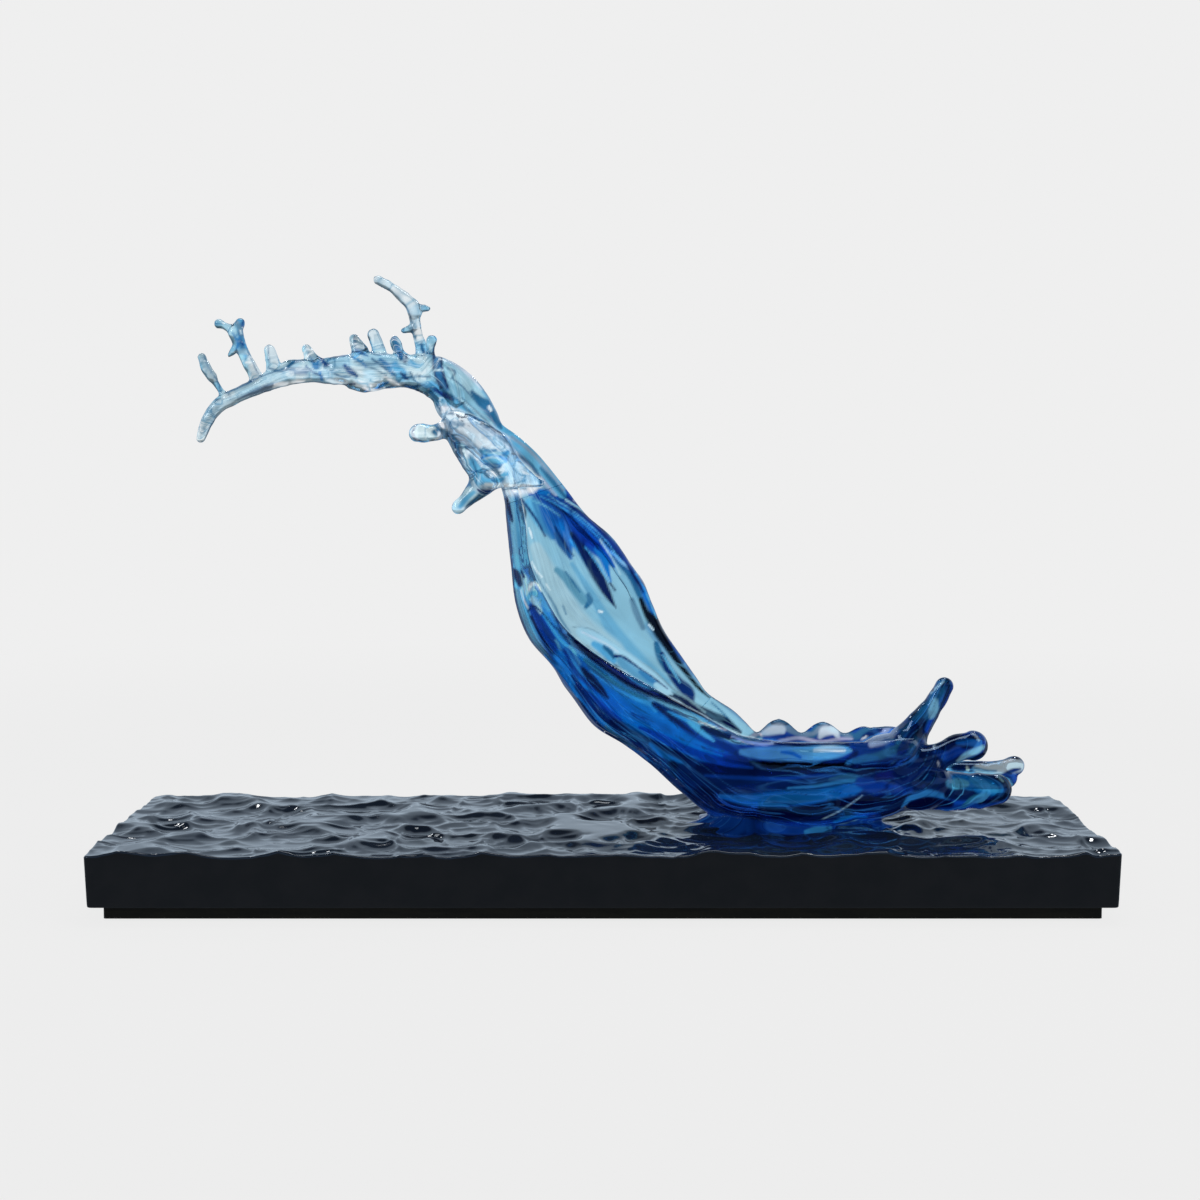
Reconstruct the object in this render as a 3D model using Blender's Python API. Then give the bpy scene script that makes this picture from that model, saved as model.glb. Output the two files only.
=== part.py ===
"""Resin wave sculpture: a cast clear-blue wave bonded and bolted to a rippled black base.

Metres, +Z up, +X along the base away from the crest, origin on the floor under the
middle of the base. The wave's own points are millimetres, measured along X and Y from
the wave's origin and upwards from the mean level of the rippled top.
"""
import math

import bmesh
import bpy
import numpy as np

MM = 0.001
GAP = 0.3 * MM                 # glue line or clearance between pieces that touch
PAST = 1 * MM                  # how far a cutter runs past the face that it starts from

# Base
BASE_LENGTH = 600 * MM
BASE_WIDTH = 200 * MM
BASE_TOP = 41 * MM             # mean level of the rippled top
BASE_CORNER = 3 * MM           # radius of the upright corners
SIDE_DRAFT = 1.0 * MM          # each side leans in by this much at its foot
COVER_WALL = 6 * MM
COVER_ROOF = 8 * MM            # mean thickness of the rippled roof
COVER_FOOT = 9 * MM            # underside of the cover and the core board
RIPPLE_RISE = 2.3 * MM         # ridge above the mean level, and hollow below it
RIPPLE_LENGTH = 47 * MM        # one ripple cell along the base
RIPPLE_WIDTH = 34 * MM         # one ripple cell across it
RIPPLE_STEP = 11.5 * MM        # spacing of the surface's points

# Foot board, screws and pads
FOOT_INSET = 9 * MM
FOOT_LIFT = 1 * MM             # what the pads hold the foot board off the shelf
FOOT_CORNER = 2 * MM
SCREW_RADIUS = 2 * MM
SCREW_HEAD_RADIUS = 4.2 * MM
SCREW_HEAD_HEIGHT = 2.2 * MM
SCREW_LENGTH = 19 * MM
SCREW_EDGE = 22 * MM           # screw axis to the foot board's edge
SCREW_COLUMNS = 3
PAD_RADIUS = 9 * MM
PAD_HEIGHT = 2.6 * MM
PAD_EDGE_X = 60 * MM           # pad axis to the foot board's short edge
PAD_EDGE_Y = 18 * MM

# Seat of the wave and the bolts that hold it
WAVE_X = 0 * MM                # wave's origin over the middle of the base
WAVE_Y = 0 * MM
WAVE_SCALE = 0.99              # size of the casting against its drawing below
SEAT_X = 132 * MM * WAVE_SCALE  # seat's centre from the wave's origin
SEAT_HALF_LENGTH = 62 * MM * WAVE_SCALE
SEAT_HALF_WIDTH = 27 * MM * WAVE_SCALE
SEAT_DEPTH = 4 * MM            # pocket floor below the mean level
KEEL_HEIGHT = 10 * MM          # from the pocket floor up into the trough's wall
BOLT_SPACING = 70 * MM * WAVE_SCALE
BOLT_RADIUS = 3 * MM
BOLT_HEAD_RADIUS = 5.5 * MM
BOLT_HEAD_HEIGHT = 4 * MM
BOLT_HEAD_RECESS = 1 * MM      # head's underside above the core board's underside
WASHER_RADIUS = 8 * MM
WASHER_HEIGHT = 1.4 * MM
INSERT_RADIUS = 4.4 * MM
INSERT_LENGTH = 8 * MM
BOLT_BITE = 6.5 * MM           # bolt's reach into the insert

# Bonded joints of the wave
PIN_RADIUS = 1.4 * MM
PIN_LENGTH = 14 * MM
RIM_THINNING = 0.45            # share of the wall that is lost at the rims
TROUGH_JOINT_Z = 52            # where the flume is bonded on the trough, on the bottom line
CREST_JOINT_X = -103           # where the arm is bonded on the crest sheet
SHEET_JOINT_Z = 214            # where the crest sheet is bonded on the flume
RIM_WAVE = 4.2                 # the trough's back rim rises and falls by this much
RIM_WAVE_LENGTH = 29
RIM_WAVE_CREST = 114           # x of a crest of that rim
RIM_WAVE_SPAN = (92, 172)      # x where the waves start and end

# Fineness of the surfaces
SHARP_ANGLE = math.radians(40)
SEAT_SIDES = 40
SHELL_ROWS = 60
JOINT_ROWS = 6                 # rows that a casting runs past its joint before it is cut there
WALL_POINTS = 7                # points on each wall of a section
TUBE_SIDES = 8
DOME_TURNS = (35, 68)          # degrees from a finger's last ring to the rings of its tip
OVAL_SIDES = 14

# Sections of the wave from its right end up to the crest, in millimetres. Each has a
# bottom point (x, z), a front rim and a back rim (x, y, z), and the wall's thickness.
SECTIONS = [
    ((206, 42), (199, -8, 54), (199, 8, 56), 6),
    ((203, 24), (193, -24, 56), (194, 24, 56), 7),
    ((191, 9), (183, -36, 57), (185, 36, 56), 7),
    ((170, 1.5), (165, -42, 57), (168, 41, 54), 7),
    ((138, 0), (140, -45, 57), (140, 43, 54), 7),
    ((106, 0.6), (113, -44, 57), (112, 43, 56), 7),
    ((72, 3), (93, -41, 59), (98, 41, 54), 7.5),
    ((49, 19), (80, -40, 62), (84, 39, 66), 8),
    ((28, 39), (59, -38, 74), (68, 37, 77), 8),
    ((13, 50), (47, -36.5, 80), (60, 36, 88), 8),
    ((-6, 62), (34, -35, 87), (51, 35, 101), 8),
    ((-21, 83), (10, -32, 100), (39, 31, 119), 7.5),
    ((-31, 98.6), (-8, -30, 112), (31, 28, 137), 7),
    ((-46, 116), (-24, -27, 126), (26, 27, 150), 6.5),
    ((-54, 137), (-36, -23, 145), (19, 25, 160), 6),
    ((-56.5, 162), (-45, -20, 166), (7, 23, 177), 5.5),
    ((-59, 186), (-48, -16, 189), (-9, 20, 191), 5),
    ((-61.5, 205), (-51, -13, 206), (-23, 16, 209), 5),
    ((-68, 221), (-58, -11, 222), (-39, 13, 229), 5),
    ((-81, 235), (-69, -10, 235), (-52, 12, 241), 5),
    ((-94, 246), (-81, -9, 246), (-62, 12, 248), 5),
    ((-101, 255), (-91, -8, 256), (-66, 13, 257), 5),
    ((-106, 264), (-98, -8, 266), (-72, 12, 268), 5),
    ((-112, 269), (-105, -8, 273), (-82, 12, 280), 5),
    ((-119, 272), (-113, -8, 277), (-95, 11, 289), 5),
    ((-126, 273), (-122, -8, 278), (-108, 9, 292), 5),
]

# Crest arm: (x, y, z), half height and half depth of each section
ARM = [
    ((-101, 1, 278), 14.5, 7.5),
    ((-111, 1, 281), 11.3, 8),
    ((-121, 1, 282), 10, 8.5),
    ((-136, 1, 282.5), 11.2, 9),
    ((-149, 1, 282), 12, 9),
    ((-161, 1, 283), 9.3, 8.5),
    ((-176, 1, 283.3), 8, 8),
    ((-192, 0, 282), 8, 7.5),
    ((-205, 0, 277), 5.8, 6.5),
    ((-218, 0, 271), 5.6, 5.6),
    ((-232, 0, 264.5), 5, 5),
]

# Pieces bonded on the crest: name, host, stem and branches as (x, y, z, radius)
CREST_FINGERS = [
    ("crest_finger_1", "crest_tip", [(-235, 0, 264, 2.6), (-237, 0, 271, 1.8), (-241.5, 0, 278, 3),
                                     (-245.5, 0, 284, 3.3), (-248, 0, 291, 2.8)], []),
    ("forked_splash", "crest_arm", [(-213.5, 0, 275, 3.2), (-216, 0, 281, 3.4), (-220, 0, 289, 3.6),
                                    (-224.5, 0, 299, 3.8), (-227, 0, 306, 4.8)],
     [[(-227, 0, 307, 3), (-232, 0, 309.5, 2.2), (-237, 0, 311.5, 3)],
      [(-227, 0, 307, 3), (-224, 0, 312, 2.8)],
      [(-225, 0, 299, 2.4), (-231, 0, 292, 1.4)]]),
    ("crest_finger_2", "crest_arm", [(-203, 0, 280, 3.6), (-204.5, 0, 289, 3.5),
                                     (-206.5, 0, 295, 3.4)], []),
    ("crest_finger_3", "crest_arm", [(-177, 0, 287, 2.8), (-180, 0, 290.5, 2.7),
                                     (-183, 0, 295.5, 2.4)], []),
    ("crest_finger_4", "crest_arm", [(-149, -2, 290, 4.2), (-151, -2, 296, 3.8),
                                     (-153, -2, 302, 2.7)], []),
    ("crest_finger_5", "crest_arm", [(-137.5, 4, 289, 4), (-139.5, 4, 298, 3.4),
                                     (-142.3, 4, 305, 3)], []),
    ("crest_finger_6", "crest_arm", [(-123, -2, 287, 4.2), (-125.5, -2, 294, 3.4),
                                     (-129, -2, 301, 2.5)], []),
    ("tall_splash", "crest_arm", [(-112.7, 3, 288, 3.2), (-112.7, 3, 298, 2.7), (-114.6, 3, 304.5, 2.5),
                                  (-116.4, 3, 313, 3), (-117, 3, 320.5, 4.4), (-119.6, 3, 325, 4.2),
                                  (-125.4, 3, 331, 2.9), (-132, 3, 336, 2.5), (-139, 3, 339, 2.6)],
     [[(-118, 3, 322, 2.4), (-108, 3, 321, 1.4)],
      [(-116, 3, 310, 2.4), (-123, 3, 307.5, 1.8)]]),
    ("crest_finger_7", "crest_arm", [(-107, -3, 286, 3), (-106.2, -3.4, 293, 2.7),
                                     (-105.5, -4, 301, 2.5)], []),
]

CREST_TIP = [(-231.5, 0, 264.8, 5), (-238, 0, 261, 4.8), (-245, 0, 252, 3.8), (-249.5, 0, 241, 2.7)]

# Fingers of the splash crown at the wave's right end
CROWN_FINGERS = [
    ("crown_finger_1", [(194, -3, 44, 8.5), (196, -3, 56, 8), (203, -3, 69, 6.2), (209.5, -4, 79, 5.4),
                        (214, -4, 87, 5)]),
    ("crown_finger_2", [(194, -20, 38, 8.5), (208, -19, 42, 8.5), (220, -17, 47.5, 8),
                        (232, -16, 49.5, 7.8)]),
    ("crown_finger_3", [(192, 16, 34, 7), (214, 14, 34, 7), (238, 11, 31, 7), (251, 9, 31.5, 5.6),
                        (262, 8, 35, 4.7)]),
    ("crown_finger_4", [(190, -10, 19, 10.5), (208, -11, 19.5, 11), (232, -11, 21, 10.8),
                        (248, -10, 22, 9)]),
]

# Shoulder fold in front of the neck, with its two knobs: (x, y, z, half height, half depth)
SHOULDER = [
    (-99, -9, 252, 6, 5),
    (-90, -13, 248.5, 10.5, 7.5),
    (-79, -16, 239, 15, 9),
    (-68, -18, 228, 17, 9),
    (-56, -18, 219, 12, 8.5),
    (-42, -16, 213, 6, 6),
]
SHOULDER_KNOBS = [
    [(-94, -13, 247, 5), (-104, -15, 244, 4.6), (-113, -15, 244, 5.2)],
    [(-70, -16, 219, 9), (-77, -17, 210, 6.4), (-84, -17, 203, 4.4), (-88.5, -17, 199, 4.5)],
]


for old in list(bpy.data.objects):
    bpy.data.objects.remove(old, do_unlink=True)


def material(name, colour, roughness, metallic=0.0, transmission=0.0):
    """A plain Principled finish."""
    made = bpy.data.materials.new(name)
    made.use_nodes = True
    shader = made.node_tree.nodes["Principled BSDF"]
    shader.inputs["Base Color"].default_value = (*colour, 1.0)
    shader.inputs["Roughness"].default_value = roughness
    shader.inputs["Metallic"].default_value = metallic
    shader.inputs["Transmission Weight"].default_value = transmission
    made.diffuse_color = (*colour, 1.0)
    return made


DEEP_RESIN = material("deep_blue_resin", (0.01, 0.10, 0.55), 0.04, transmission=1.0)
CLEAR_RESIN = material("light_blue_resin", (0.45, 0.75, 0.90), 0.04, transmission=1.0)
PALE_RESIN = material("pale_clear_resin", (0.78, 0.87, 0.92), 0.04, transmission=1.0)
BLACK_CAST = material("black_cast_resin", (0.012, 0.016, 0.022), 0.22)
BOARD = material("black_board", (0.015, 0.014, 0.014), 0.6)
STEEL = material("zinc_steel", (0.62, 0.62, 0.60), 0.3, metallic=1.0)
BRASS = material("brass", (0.72, 0.55, 0.25), 0.3, metallic=1.0)
RUBBER = material("dark_rubber", (0.03, 0.03, 0.03), 0.8)


def add(name, points, faces, finish):
    """Makes a mesh object from points in metres, with its faces turned outwards."""
    mesh = bpy.data.meshes.new(name)
    mesh.from_pydata([tuple(float(v) for v in p) for p in points], [], faces)
    work = bmesh.new()
    work.from_mesh(mesh)
    bmesh.ops.recalc_face_normals(work, faces=work.faces)
    work.to_mesh(mesh)
    work.free()
    if finish:
        mesh.materials.append(finish)
    mesh.shade_smooth()
    mesh.set_sharp_from_angle(angle=SHARP_ANGLE)
    made = bpy.data.objects.new(name, mesh)
    bpy.context.scene.collection.objects.link(made)
    return made


def as_cutter(made):
    """Marks an object as a tool that only shapes others."""
    made.hide_render = True
    made.display_type = "WIRE"
    return made


def combine(host, tool, operation):
    """Adds an exact Boolean of the tool to the host's stack."""
    step = host.modifiers.new(f"{operation.lower()}_{tool.name}", "BOOLEAN")
    step.operation = operation
    step.solver = "EXACT"
    step.object = tool


def smooth_rows(rows, count, even=slice(0, 3)):
    """Smooth curve through the rows: `count` points, evenly spaced in the columns of `even`."""
    rows = np.asarray(rows, dtype=float)
    padded = np.vstack([2 * rows[0] - rows[1], rows, 2 * rows[-1] - rows[-2]])
    spot = np.linspace(0, len(rows) - 1, 16 * (len(rows) - 1) + 1)
    fine = catmull(padded, spot)
    steps = np.linalg.norm(np.diff(fine[:, even], axis=0), axis=1)
    run = np.concatenate([[0], np.cumsum(steps)])
    return catmull(padded, np.interp(np.linspace(0, run[-1], count), run, spot))


def catmull(padded, spot):
    """Catmull-Rom curve at fractional row numbers, for rows with one more at each end."""
    index = np.clip(spot.astype(int), 0, len(padded) - 4)
    t = (spot - index)[:, None]
    a, b, c, d = (padded[index + k] for k in range(4))
    return 0.5 * (2 * b + (c - a) * t + (2 * a - 5 * b + 4 * c - d) * t**2
                  + (3 * b - 3 * c + d - a) * t**3)


def in_place(points):
    """Wave millimetres to metres in the part's frame."""
    return np.asarray(points, dtype=float) * MM * WAVE_SCALE + np.array([WAVE_X, WAVE_Y, BASE_TOP])


def drawn(size):
    """A real size in metres as millimetres of the wave's drawing."""
    return size / MM / WAVE_SCALE


def loft(name, rings, finish):
    """Closes rows of equal closed rings with flat ends."""
    rows, sides, _ = rings.shape
    faces = []
    for i in range(rows - 1):
        for j in range(sides):
            k = (j + 1) % sides
            faces.append((i * sides + j, i * sides + k, (i + 1) * sides + k, (i + 1) * sides + j))
    faces.append(tuple(range(sides)))
    faces.append(tuple((rows - 1) * sides + j for j in range(sides)))
    return add(name, rings.reshape(-1, 3), faces, finish)


def tube_rings(stem, grow=0.0, sides=TUBE_SIDES, lengthen=0.0):
    """Rings round a smooth stem of (x, y, z, radius), with a round tip at its last point."""
    stem = np.array(stem, dtype=float)
    first = stem[0, :3] - stem[1, :3]
    stem[0, :3] += first / np.linalg.norm(first) * lengthen
    body = smooth_rows(stem, 2 * len(stem) + 2)
    ahead = body[-1, :3] - body[-2, :3]
    ahead /= np.linalg.norm(ahead)
    tip = body[-1, 3]
    turns = np.radians(DOME_TURNS)
    dome = np.hstack([body[-1, :3] + np.outer(np.sin(turns) * tip, ahead), (np.cos(turns) * tip)[:, None]])
    path = np.vstack([body, dome])
    run = np.gradient(path[:, :3], axis=0)
    run /= np.linalg.norm(run, axis=1)[:, None]
    across = np.cross(run, [0.0, 1.0, 0.0])
    across /= np.linalg.norm(across, axis=1)[:, None]
    side = np.cross(across, run)
    angle = np.linspace(0, 2 * np.pi, sides, endpoint=False)
    radius = (path[:, 3] + grow)[:, None, None]
    return (path[:, None, :3] + radius * (np.cos(angle)[None, :, None] * across[:, None]
                                          + np.sin(angle)[None, :, None] * side[:, None]))


def tube(name, stem, finish, grow=0.0, lengthen=0.0):
    """A finger of resin: a round stem with a domed tip."""
    return loft(name, in_place(tube_rings(stem, grow, lengthen=lengthen)), finish)


def oval_rings(rows, grow=0.0, sides=OVAL_SIDES):
    """Oval rings square to a path of (x, y, z, half height, half depth)."""
    path = smooth_rows(rows, 2 * len(rows) + 3)
    run = np.gradient(path[:, :3], axis=0)
    run /= np.linalg.norm(run, axis=1)[:, None]
    up = np.cross([0.0, 1.0, 0.0], run)
    up /= np.linalg.norm(up, axis=1)[:, None]
    angle = np.linspace(0, 2 * np.pi, sides, endpoint=False)
    high = (path[:, 3] + grow)[:, None, None] * np.cos(angle)[None, :, None] * up[:, None]
    deep = (path[:, 4] + grow)[:, None, None] * np.sin(angle)[None, :, None] * np.array([0.0, 1.0, 0.0])
    return path[:, None, :3] + high + deep


def prism(name, corners, low, high, finish):
    """An upright prism from a closed outline in metres."""
    count = len(corners)
    points = [(x, y, z) for z in (low, high) for x, y in corners]
    faces = [tuple(range(count)), tuple(range(count, 2 * count))]
    faces += [(i, (i + 1) % count, count + (i + 1) % count, count + i) for i in range(count)]
    return add(name, points, faces, finish)


def oval(half_x, half_y, centre, sides):
    """Outline of an upright oval."""
    turn = [2 * math.pi * k / sides for k in range(sides)]
    return [(centre[0] + half_x * math.cos(a), centre[1] + half_y * math.sin(a)) for a in turn]


def rounded_rectangle(length, width, radius, steps=4):
    """Outline of a rectangle whose corners are arcs."""
    corners = []
    for quarter, (sx, sy) in enumerate([(1, 1), (-1, 1), (-1, -1), (1, -1)]):
        for k in range(steps + 1):
            a = math.pi / 2 * (quarter + k / steps)
            corners.append((sx * (length / 2 - radius) + radius * math.cos(a),
                            sy * (width / 2 - radius) + radius * math.sin(a)))
    return corners


def turned(name, profile, at, finish, sides=16):
    """Spins a closed profile of (radius, height), which starts and ends on the axis."""
    angle = np.linspace(0, 2 * np.pi, sides, endpoint=False)
    inner = profile[1:-1]
    points = [(at[0], at[1], profile[0][1]), (at[0], at[1], profile[-1][1])]
    for radius, height in inner:
        points += [(at[0] + radius * math.cos(a), at[1] + radius * math.sin(a), height) for a in angle]
    faces = []
    for j in range(sides):
        k = (j + 1) % sides
        faces.append((0, 2 + j, 2 + k))
        last = 2 + (len(inner) - 1) * sides
        faces.append((1, last + k, last + j))
        for i in range(len(inner) - 1):
            a, b = 2 + i * sides, 2 + (i + 1) * sides
            faces.append((a + j, a + k, b + k, b + j))
    return add(name, points, faces, finish)


def disc(name, radius, low, high, at, finish, sides=16):
    """A plain upright cylinder."""
    return turned(name, [(0, low), (radius, low), (radius, high), (0, high)], at, finish, sides)


def ripple(x, y):
    """Ripple height in metres: warped egg-crate cells with narrow ridges between hollows."""
    along, across = x / RIPPLE_LENGTH, y / RIPPLE_WIDTH
    u = along + 0.28 * np.sin(2.3 * across) + 0.16 * np.sin(1.9 * along + 1)
    v = across + 0.30 * np.sin(1.7 * along + 0.6) + 0.12 * np.sin(2.9 * across)
    cell = np.abs(np.sin(np.pi * u) * np.sin(np.pi * v)) ** 0.7
    roll = 0.35 * np.sin(3.1 * along + 1.3 * across)
    return RIPPLE_RISE * np.clip(0.85 - 1.7 * cell + roll, -1.0, 1.0)


def cover_outline(inset):
    """Half length and half width of the cover's outside, moved in by an inset."""
    return BASE_LENGTH / 2 - inset, BASE_WIDTH / 2 - inset


def rippled_block():
    """The cover's solid outside: four leaning sides under a rippled top."""
    columns = max(8, round(BASE_LENGTH / RIPPLE_STEP))
    rows = max(4, round(BASE_WIDTH / RIPPLE_STEP))
    half_x, half_y = cover_outline(0)
    x = np.linspace(-half_x, half_x, columns + 1)
    y = np.linspace(-half_y, half_y, rows + 1)
    grid_x, grid_y = np.meshgrid(x, y, indexing="ij")
    top = BASE_TOP + ripple(grid_x, grid_y)
    soft = corner_pull(grid_x, grid_y, half_x, half_y)
    upper = np.stack([grid_x - soft[0], grid_y - soft[1], top], axis=-1)
    lean = np.array([1 - SIDE_DRAFT / half_x, 1 - SIDE_DRAFT / half_y, 0])
    lower = upper * lean + np.array([0, 0, COVER_FOOT])
    number = np.arange((columns + 1) * (rows + 1)).reshape(columns + 1, rows + 1)
    faces = [(number[i, j], number[i + 1, j], number[i + 1, j + 1], number[i, j + 1])
             for i in range(columns) for j in range(rows)]
    edge = ([(i, 0) for i in range(columns)] + [(columns, j) for j in range(rows)]
            + [(i, rows) for i in range(columns, 0, -1)] + [(0, j) for j in range(rows, 0, -1)])
    ring = [int(number[c]) for c in edge]
    base = len(number.ravel())
    foot = [base + k for k in range(len(ring))]
    faces = [tuple(int(v) for v in f) for f in faces]
    faces += [(ring[k], ring[(k + 1) % len(ring)], foot[(k + 1) % len(ring)], foot[k])
              for k in range(len(ring))]
    faces.append(tuple(foot))
    points = list(upper.reshape(-1, 3)) + [lower[c] for c in edge]
    return add("base_cover", points, faces, BLACK_CAST)


def corner_pull(x, y, half_x, half_y):
    """How far the outline's corner points move in, so that the upright corners are round."""
    pull = (1 - math.sqrt(0.5)) * BASE_CORNER
    corner = (np.abs(x) > half_x - 1e-9) & (np.abs(y) > half_y - 1e-9)
    return np.where(corner, np.sign(x) * pull, 0), np.where(corner, np.sign(y) * pull, 0)


def bolt_places():
    """Axes of the bolts that hold the wave."""
    return [(WAVE_X + SEAT_X + side * BOLT_SPACING / 2, WAVE_Y) for side in (-1, 1)]


def seat_outline(grow=0.0):
    """Oval outline of the keel, or of its pocket when it is grown."""
    return oval(SEAT_HALF_LENGTH + grow, SEAT_HALF_WIDTH + grow, (WAVE_X + SEAT_X, WAVE_Y), SEAT_SIDES)


def screw_places():
    """Axes of the foot board's screws, in two rows."""
    half_x, half_y = cover_outline(FOOT_INSET + SCREW_EDGE)
    return [(x, y) for y in (-half_y, half_y) for x in np.linspace(-half_x, half_x, SCREW_COLUMNS)]


def pad_places():
    """Axes of the four pads."""
    half_x = BASE_LENGTH / 2 - FOOT_INSET - PAD_EDGE_X
    half_y = BASE_WIDTH / 2 - FOOT_INSET - PAD_EDGE_Y
    return [(sx * half_x, sy * half_y) for sy in (-1, 1) for sx in (-1, 1)]


def build_base():
    """Rippled cover, core board inside it, foot board, screws, pads, bolts and washers."""
    cover = rippled_block()
    half_x, half_y = cover_outline(COVER_WALL)
    roof = BASE_TOP - COVER_ROOF
    inside = prism("cover_hollow", rounded_rectangle(2 * half_x, 2 * half_y, BASE_CORNER),
                   COVER_FOOT - PAST, roof, None)
    combine(cover, as_cutter(inside), "DIFFERENCE")
    seat_floor = BASE_TOP - SEAT_DEPTH
    pocket = prism("seat_pocket", seat_outline(GAP), seat_floor, BASE_TOP + 2 * RIPPLE_RISE, None)
    combine(cover, as_cutter(pocket), "DIFFERENCE")

    core = prism("core_board", rounded_rectangle(2 * (half_x - GAP), 2 * (half_y - GAP), BASE_CORNER),
                 COVER_FOOT, roof - GAP, BOARD)
    foot_x, foot_y = cover_outline(FOOT_INSET)
    foot_top = COVER_FOOT - GAP
    foot = prism("foot_board", rounded_rectangle(2 * foot_x, 2 * foot_y, FOOT_CORNER),
                 FOOT_LIFT, foot_top, BOARD)

    for number, place in enumerate(screw_places(), 1):
        low = FOOT_LIFT + GAP
        neck = low + SCREW_HEAD_HEIGHT
        end = low + SCREW_LENGTH
        turned(f"foot_screw_{number}", [(0, low), (SCREW_HEAD_RADIUS, low), (SCREW_RADIUS, neck),
                                        (SCREW_RADIUS, end - SCREW_RADIUS), (0, end)], place, STEEL, 12)
        hole = turned(f"screw_hole_{number}",
                      [(0, low - PAST), (SCREW_HEAD_RADIUS + GAP, low - PAST),
                       (SCREW_HEAD_RADIUS + GAP, low), (SCREW_RADIUS + GAP, neck),
                       (SCREW_RADIUS + GAP, end + GAP), (0, end + GAP)], place, None, 12)
        combine(foot, as_cutter(hole), "DIFFERENCE")
        combine(core, hole, "DIFFERENCE")

    for number, place in enumerate(pad_places(), 1):
        disc(f"foot_pad_{number}", PAD_RADIUS, 0, PAD_HEIGHT, place, RUBBER, 24)
        socket = disc(f"pad_socket_{number}", PAD_RADIUS + GAP, FOOT_LIFT - PAST, PAD_HEIGHT + GAP,
                      place, None, 24)
        combine(foot, as_cutter(socket), "DIFFERENCE")

    head_low = COVER_FOOT + BOLT_HEAD_RECESS
    head_top = head_low + BOLT_HEAD_HEIGHT
    washer_top = head_top + GAP + WASHER_HEIGHT
    insert_low = seat_floor + 2 * GAP
    bolt_end = insert_low + BOLT_BITE
    for number, place in enumerate(bolt_places(), 1):
        turned(f"mounting_bolt_{number}", [(0, head_low), (BOLT_HEAD_RADIUS, head_low),
                                           (BOLT_HEAD_RADIUS, head_top), (BOLT_RADIUS, head_top),
                                           (BOLT_RADIUS, bolt_end), (0, bolt_end)], place, STEEL)
        ring = disc(f"bolt_washer_{number}", WASHER_RADIUS, head_top + GAP, washer_top, place, STEEL, 24)
        shaft = disc(f"bolt_hole_{number}", BOLT_RADIUS + GAP, COVER_FOOT - PAST, bolt_end + GAP,
                     place, None)
        combine(ring, as_cutter(shaft), "DIFFERENCE")
        well = disc(f"bolt_well_{number}", WASHER_RADIUS + GAP, COVER_FOOT - PAST, washer_top + GAP,
                    place, None, 24)
        combine(core, as_cutter(well), "DIFFERENCE")
        combine(core, shaft, "DIFFERENCE")
        combine(cover, shaft, "DIFFERENCE")
        insert = disc(f"threaded_insert_{number}", INSERT_RADIUS, insert_low, insert_low + INSERT_LENGTH,
                      place, BRASS)
        combine(insert, shaft, "DIFFERENCE")


def wall_rows():
    """Sections of the shell as rows: bottom x, z, front x, y, z, back x, y, z, wall."""
    rows = [[*low, *front, *back, wall] for low, front, back, wall in SECTIONS]
    rows = smooth_rows(rows, SHELL_ROWS, even=slice(0, 2))
    along = (rows[:, 5] - RIM_WAVE_SPAN[0]) / (RIM_WAVE_SPAN[1] - RIM_WAVE_SPAN[0])
    swell = np.sin(np.pi * np.clip(along, 0, 1)) ** 0.5
    rows[:, 7] += RIM_WAVE * swell * np.cos(2 * np.pi * (rows[:, 5] - RIM_WAVE_CREST) / RIM_WAVE_LENGTH)
    return rows


def shell_rings(grow=0.0, solid=False):
    """Rings of the C-shaped shell. Each wall is a quarter oval from the bottom line to its rim,
    and the inside is the outside moved in by the wall, which thins towards the rims."""
    rows = wall_rows()
    way = np.linspace(-1, 1, 2 * WALL_POINTS - 1)
    turn = np.abs(way) * np.pi / 2
    rim = np.where(way[None, :, None] < 0, rows[:, None, 2:5], rows[:, None, 5:8])
    low = np.stack([rows[:, 0], np.zeros(len(rows)), rows[:, 1]], axis=-1)[:, None]
    reach = rim - low
    share = np.stack([1 - np.cos(turn), np.sin(turn), 1 - np.cos(turn)], axis=-1)[None]
    outside = low + reach * share
    along = np.gradient(outside, axis=0)
    around = np.gradient(outside, axis=1)
    normal = np.cross(along, around)
    normal /= np.linalg.norm(normal, axis=2)[..., None]
    mouth = (rows[:, 2:5] + rows[:, 5:8])[:, None] / 2 - low
    normal *= np.sign(np.sum(normal[:, WALL_POINTS - 1:WALL_POINTS] * mouth, axis=2))[..., None]
    wall = rows[:, 8, None] * (1 - RIM_THINNING * np.abs(way)[None] ** 5)
    inside = outside + normal * wall[..., None]
    if solid:
        chord = np.linspace(0, 1, way.size)[None, :, None]
        inside = outside[:, :1] * (1 - chord) + outside[:, -1:] * chord
    outside = outside - normal * grow
    return np.concatenate([outside, inside[:, ::-1]], axis=1)


def saw(made, point, normal):
    """Cuts an object flat, keeps what lies behind the plane, and closes the cut face."""
    work = bmesh.new()
    work.from_mesh(made.data)
    everything = work.verts[:] + work.edges[:] + work.faces[:]
    cut = bmesh.ops.bisect_plane(work, geom=everything, dist=1e-7, plane_co=point, plane_no=normal,
                                 clear_outer=True)
    rim = [part for part in cut["geom_cut"] if isinstance(part, bmesh.types.BMEdge)]
    bmesh.ops.edgeloop_fill(work, edges=rim)
    bmesh.ops.recalc_face_normals(work, faces=work.faces)
    work.to_mesh(made.data)
    work.free()


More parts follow.
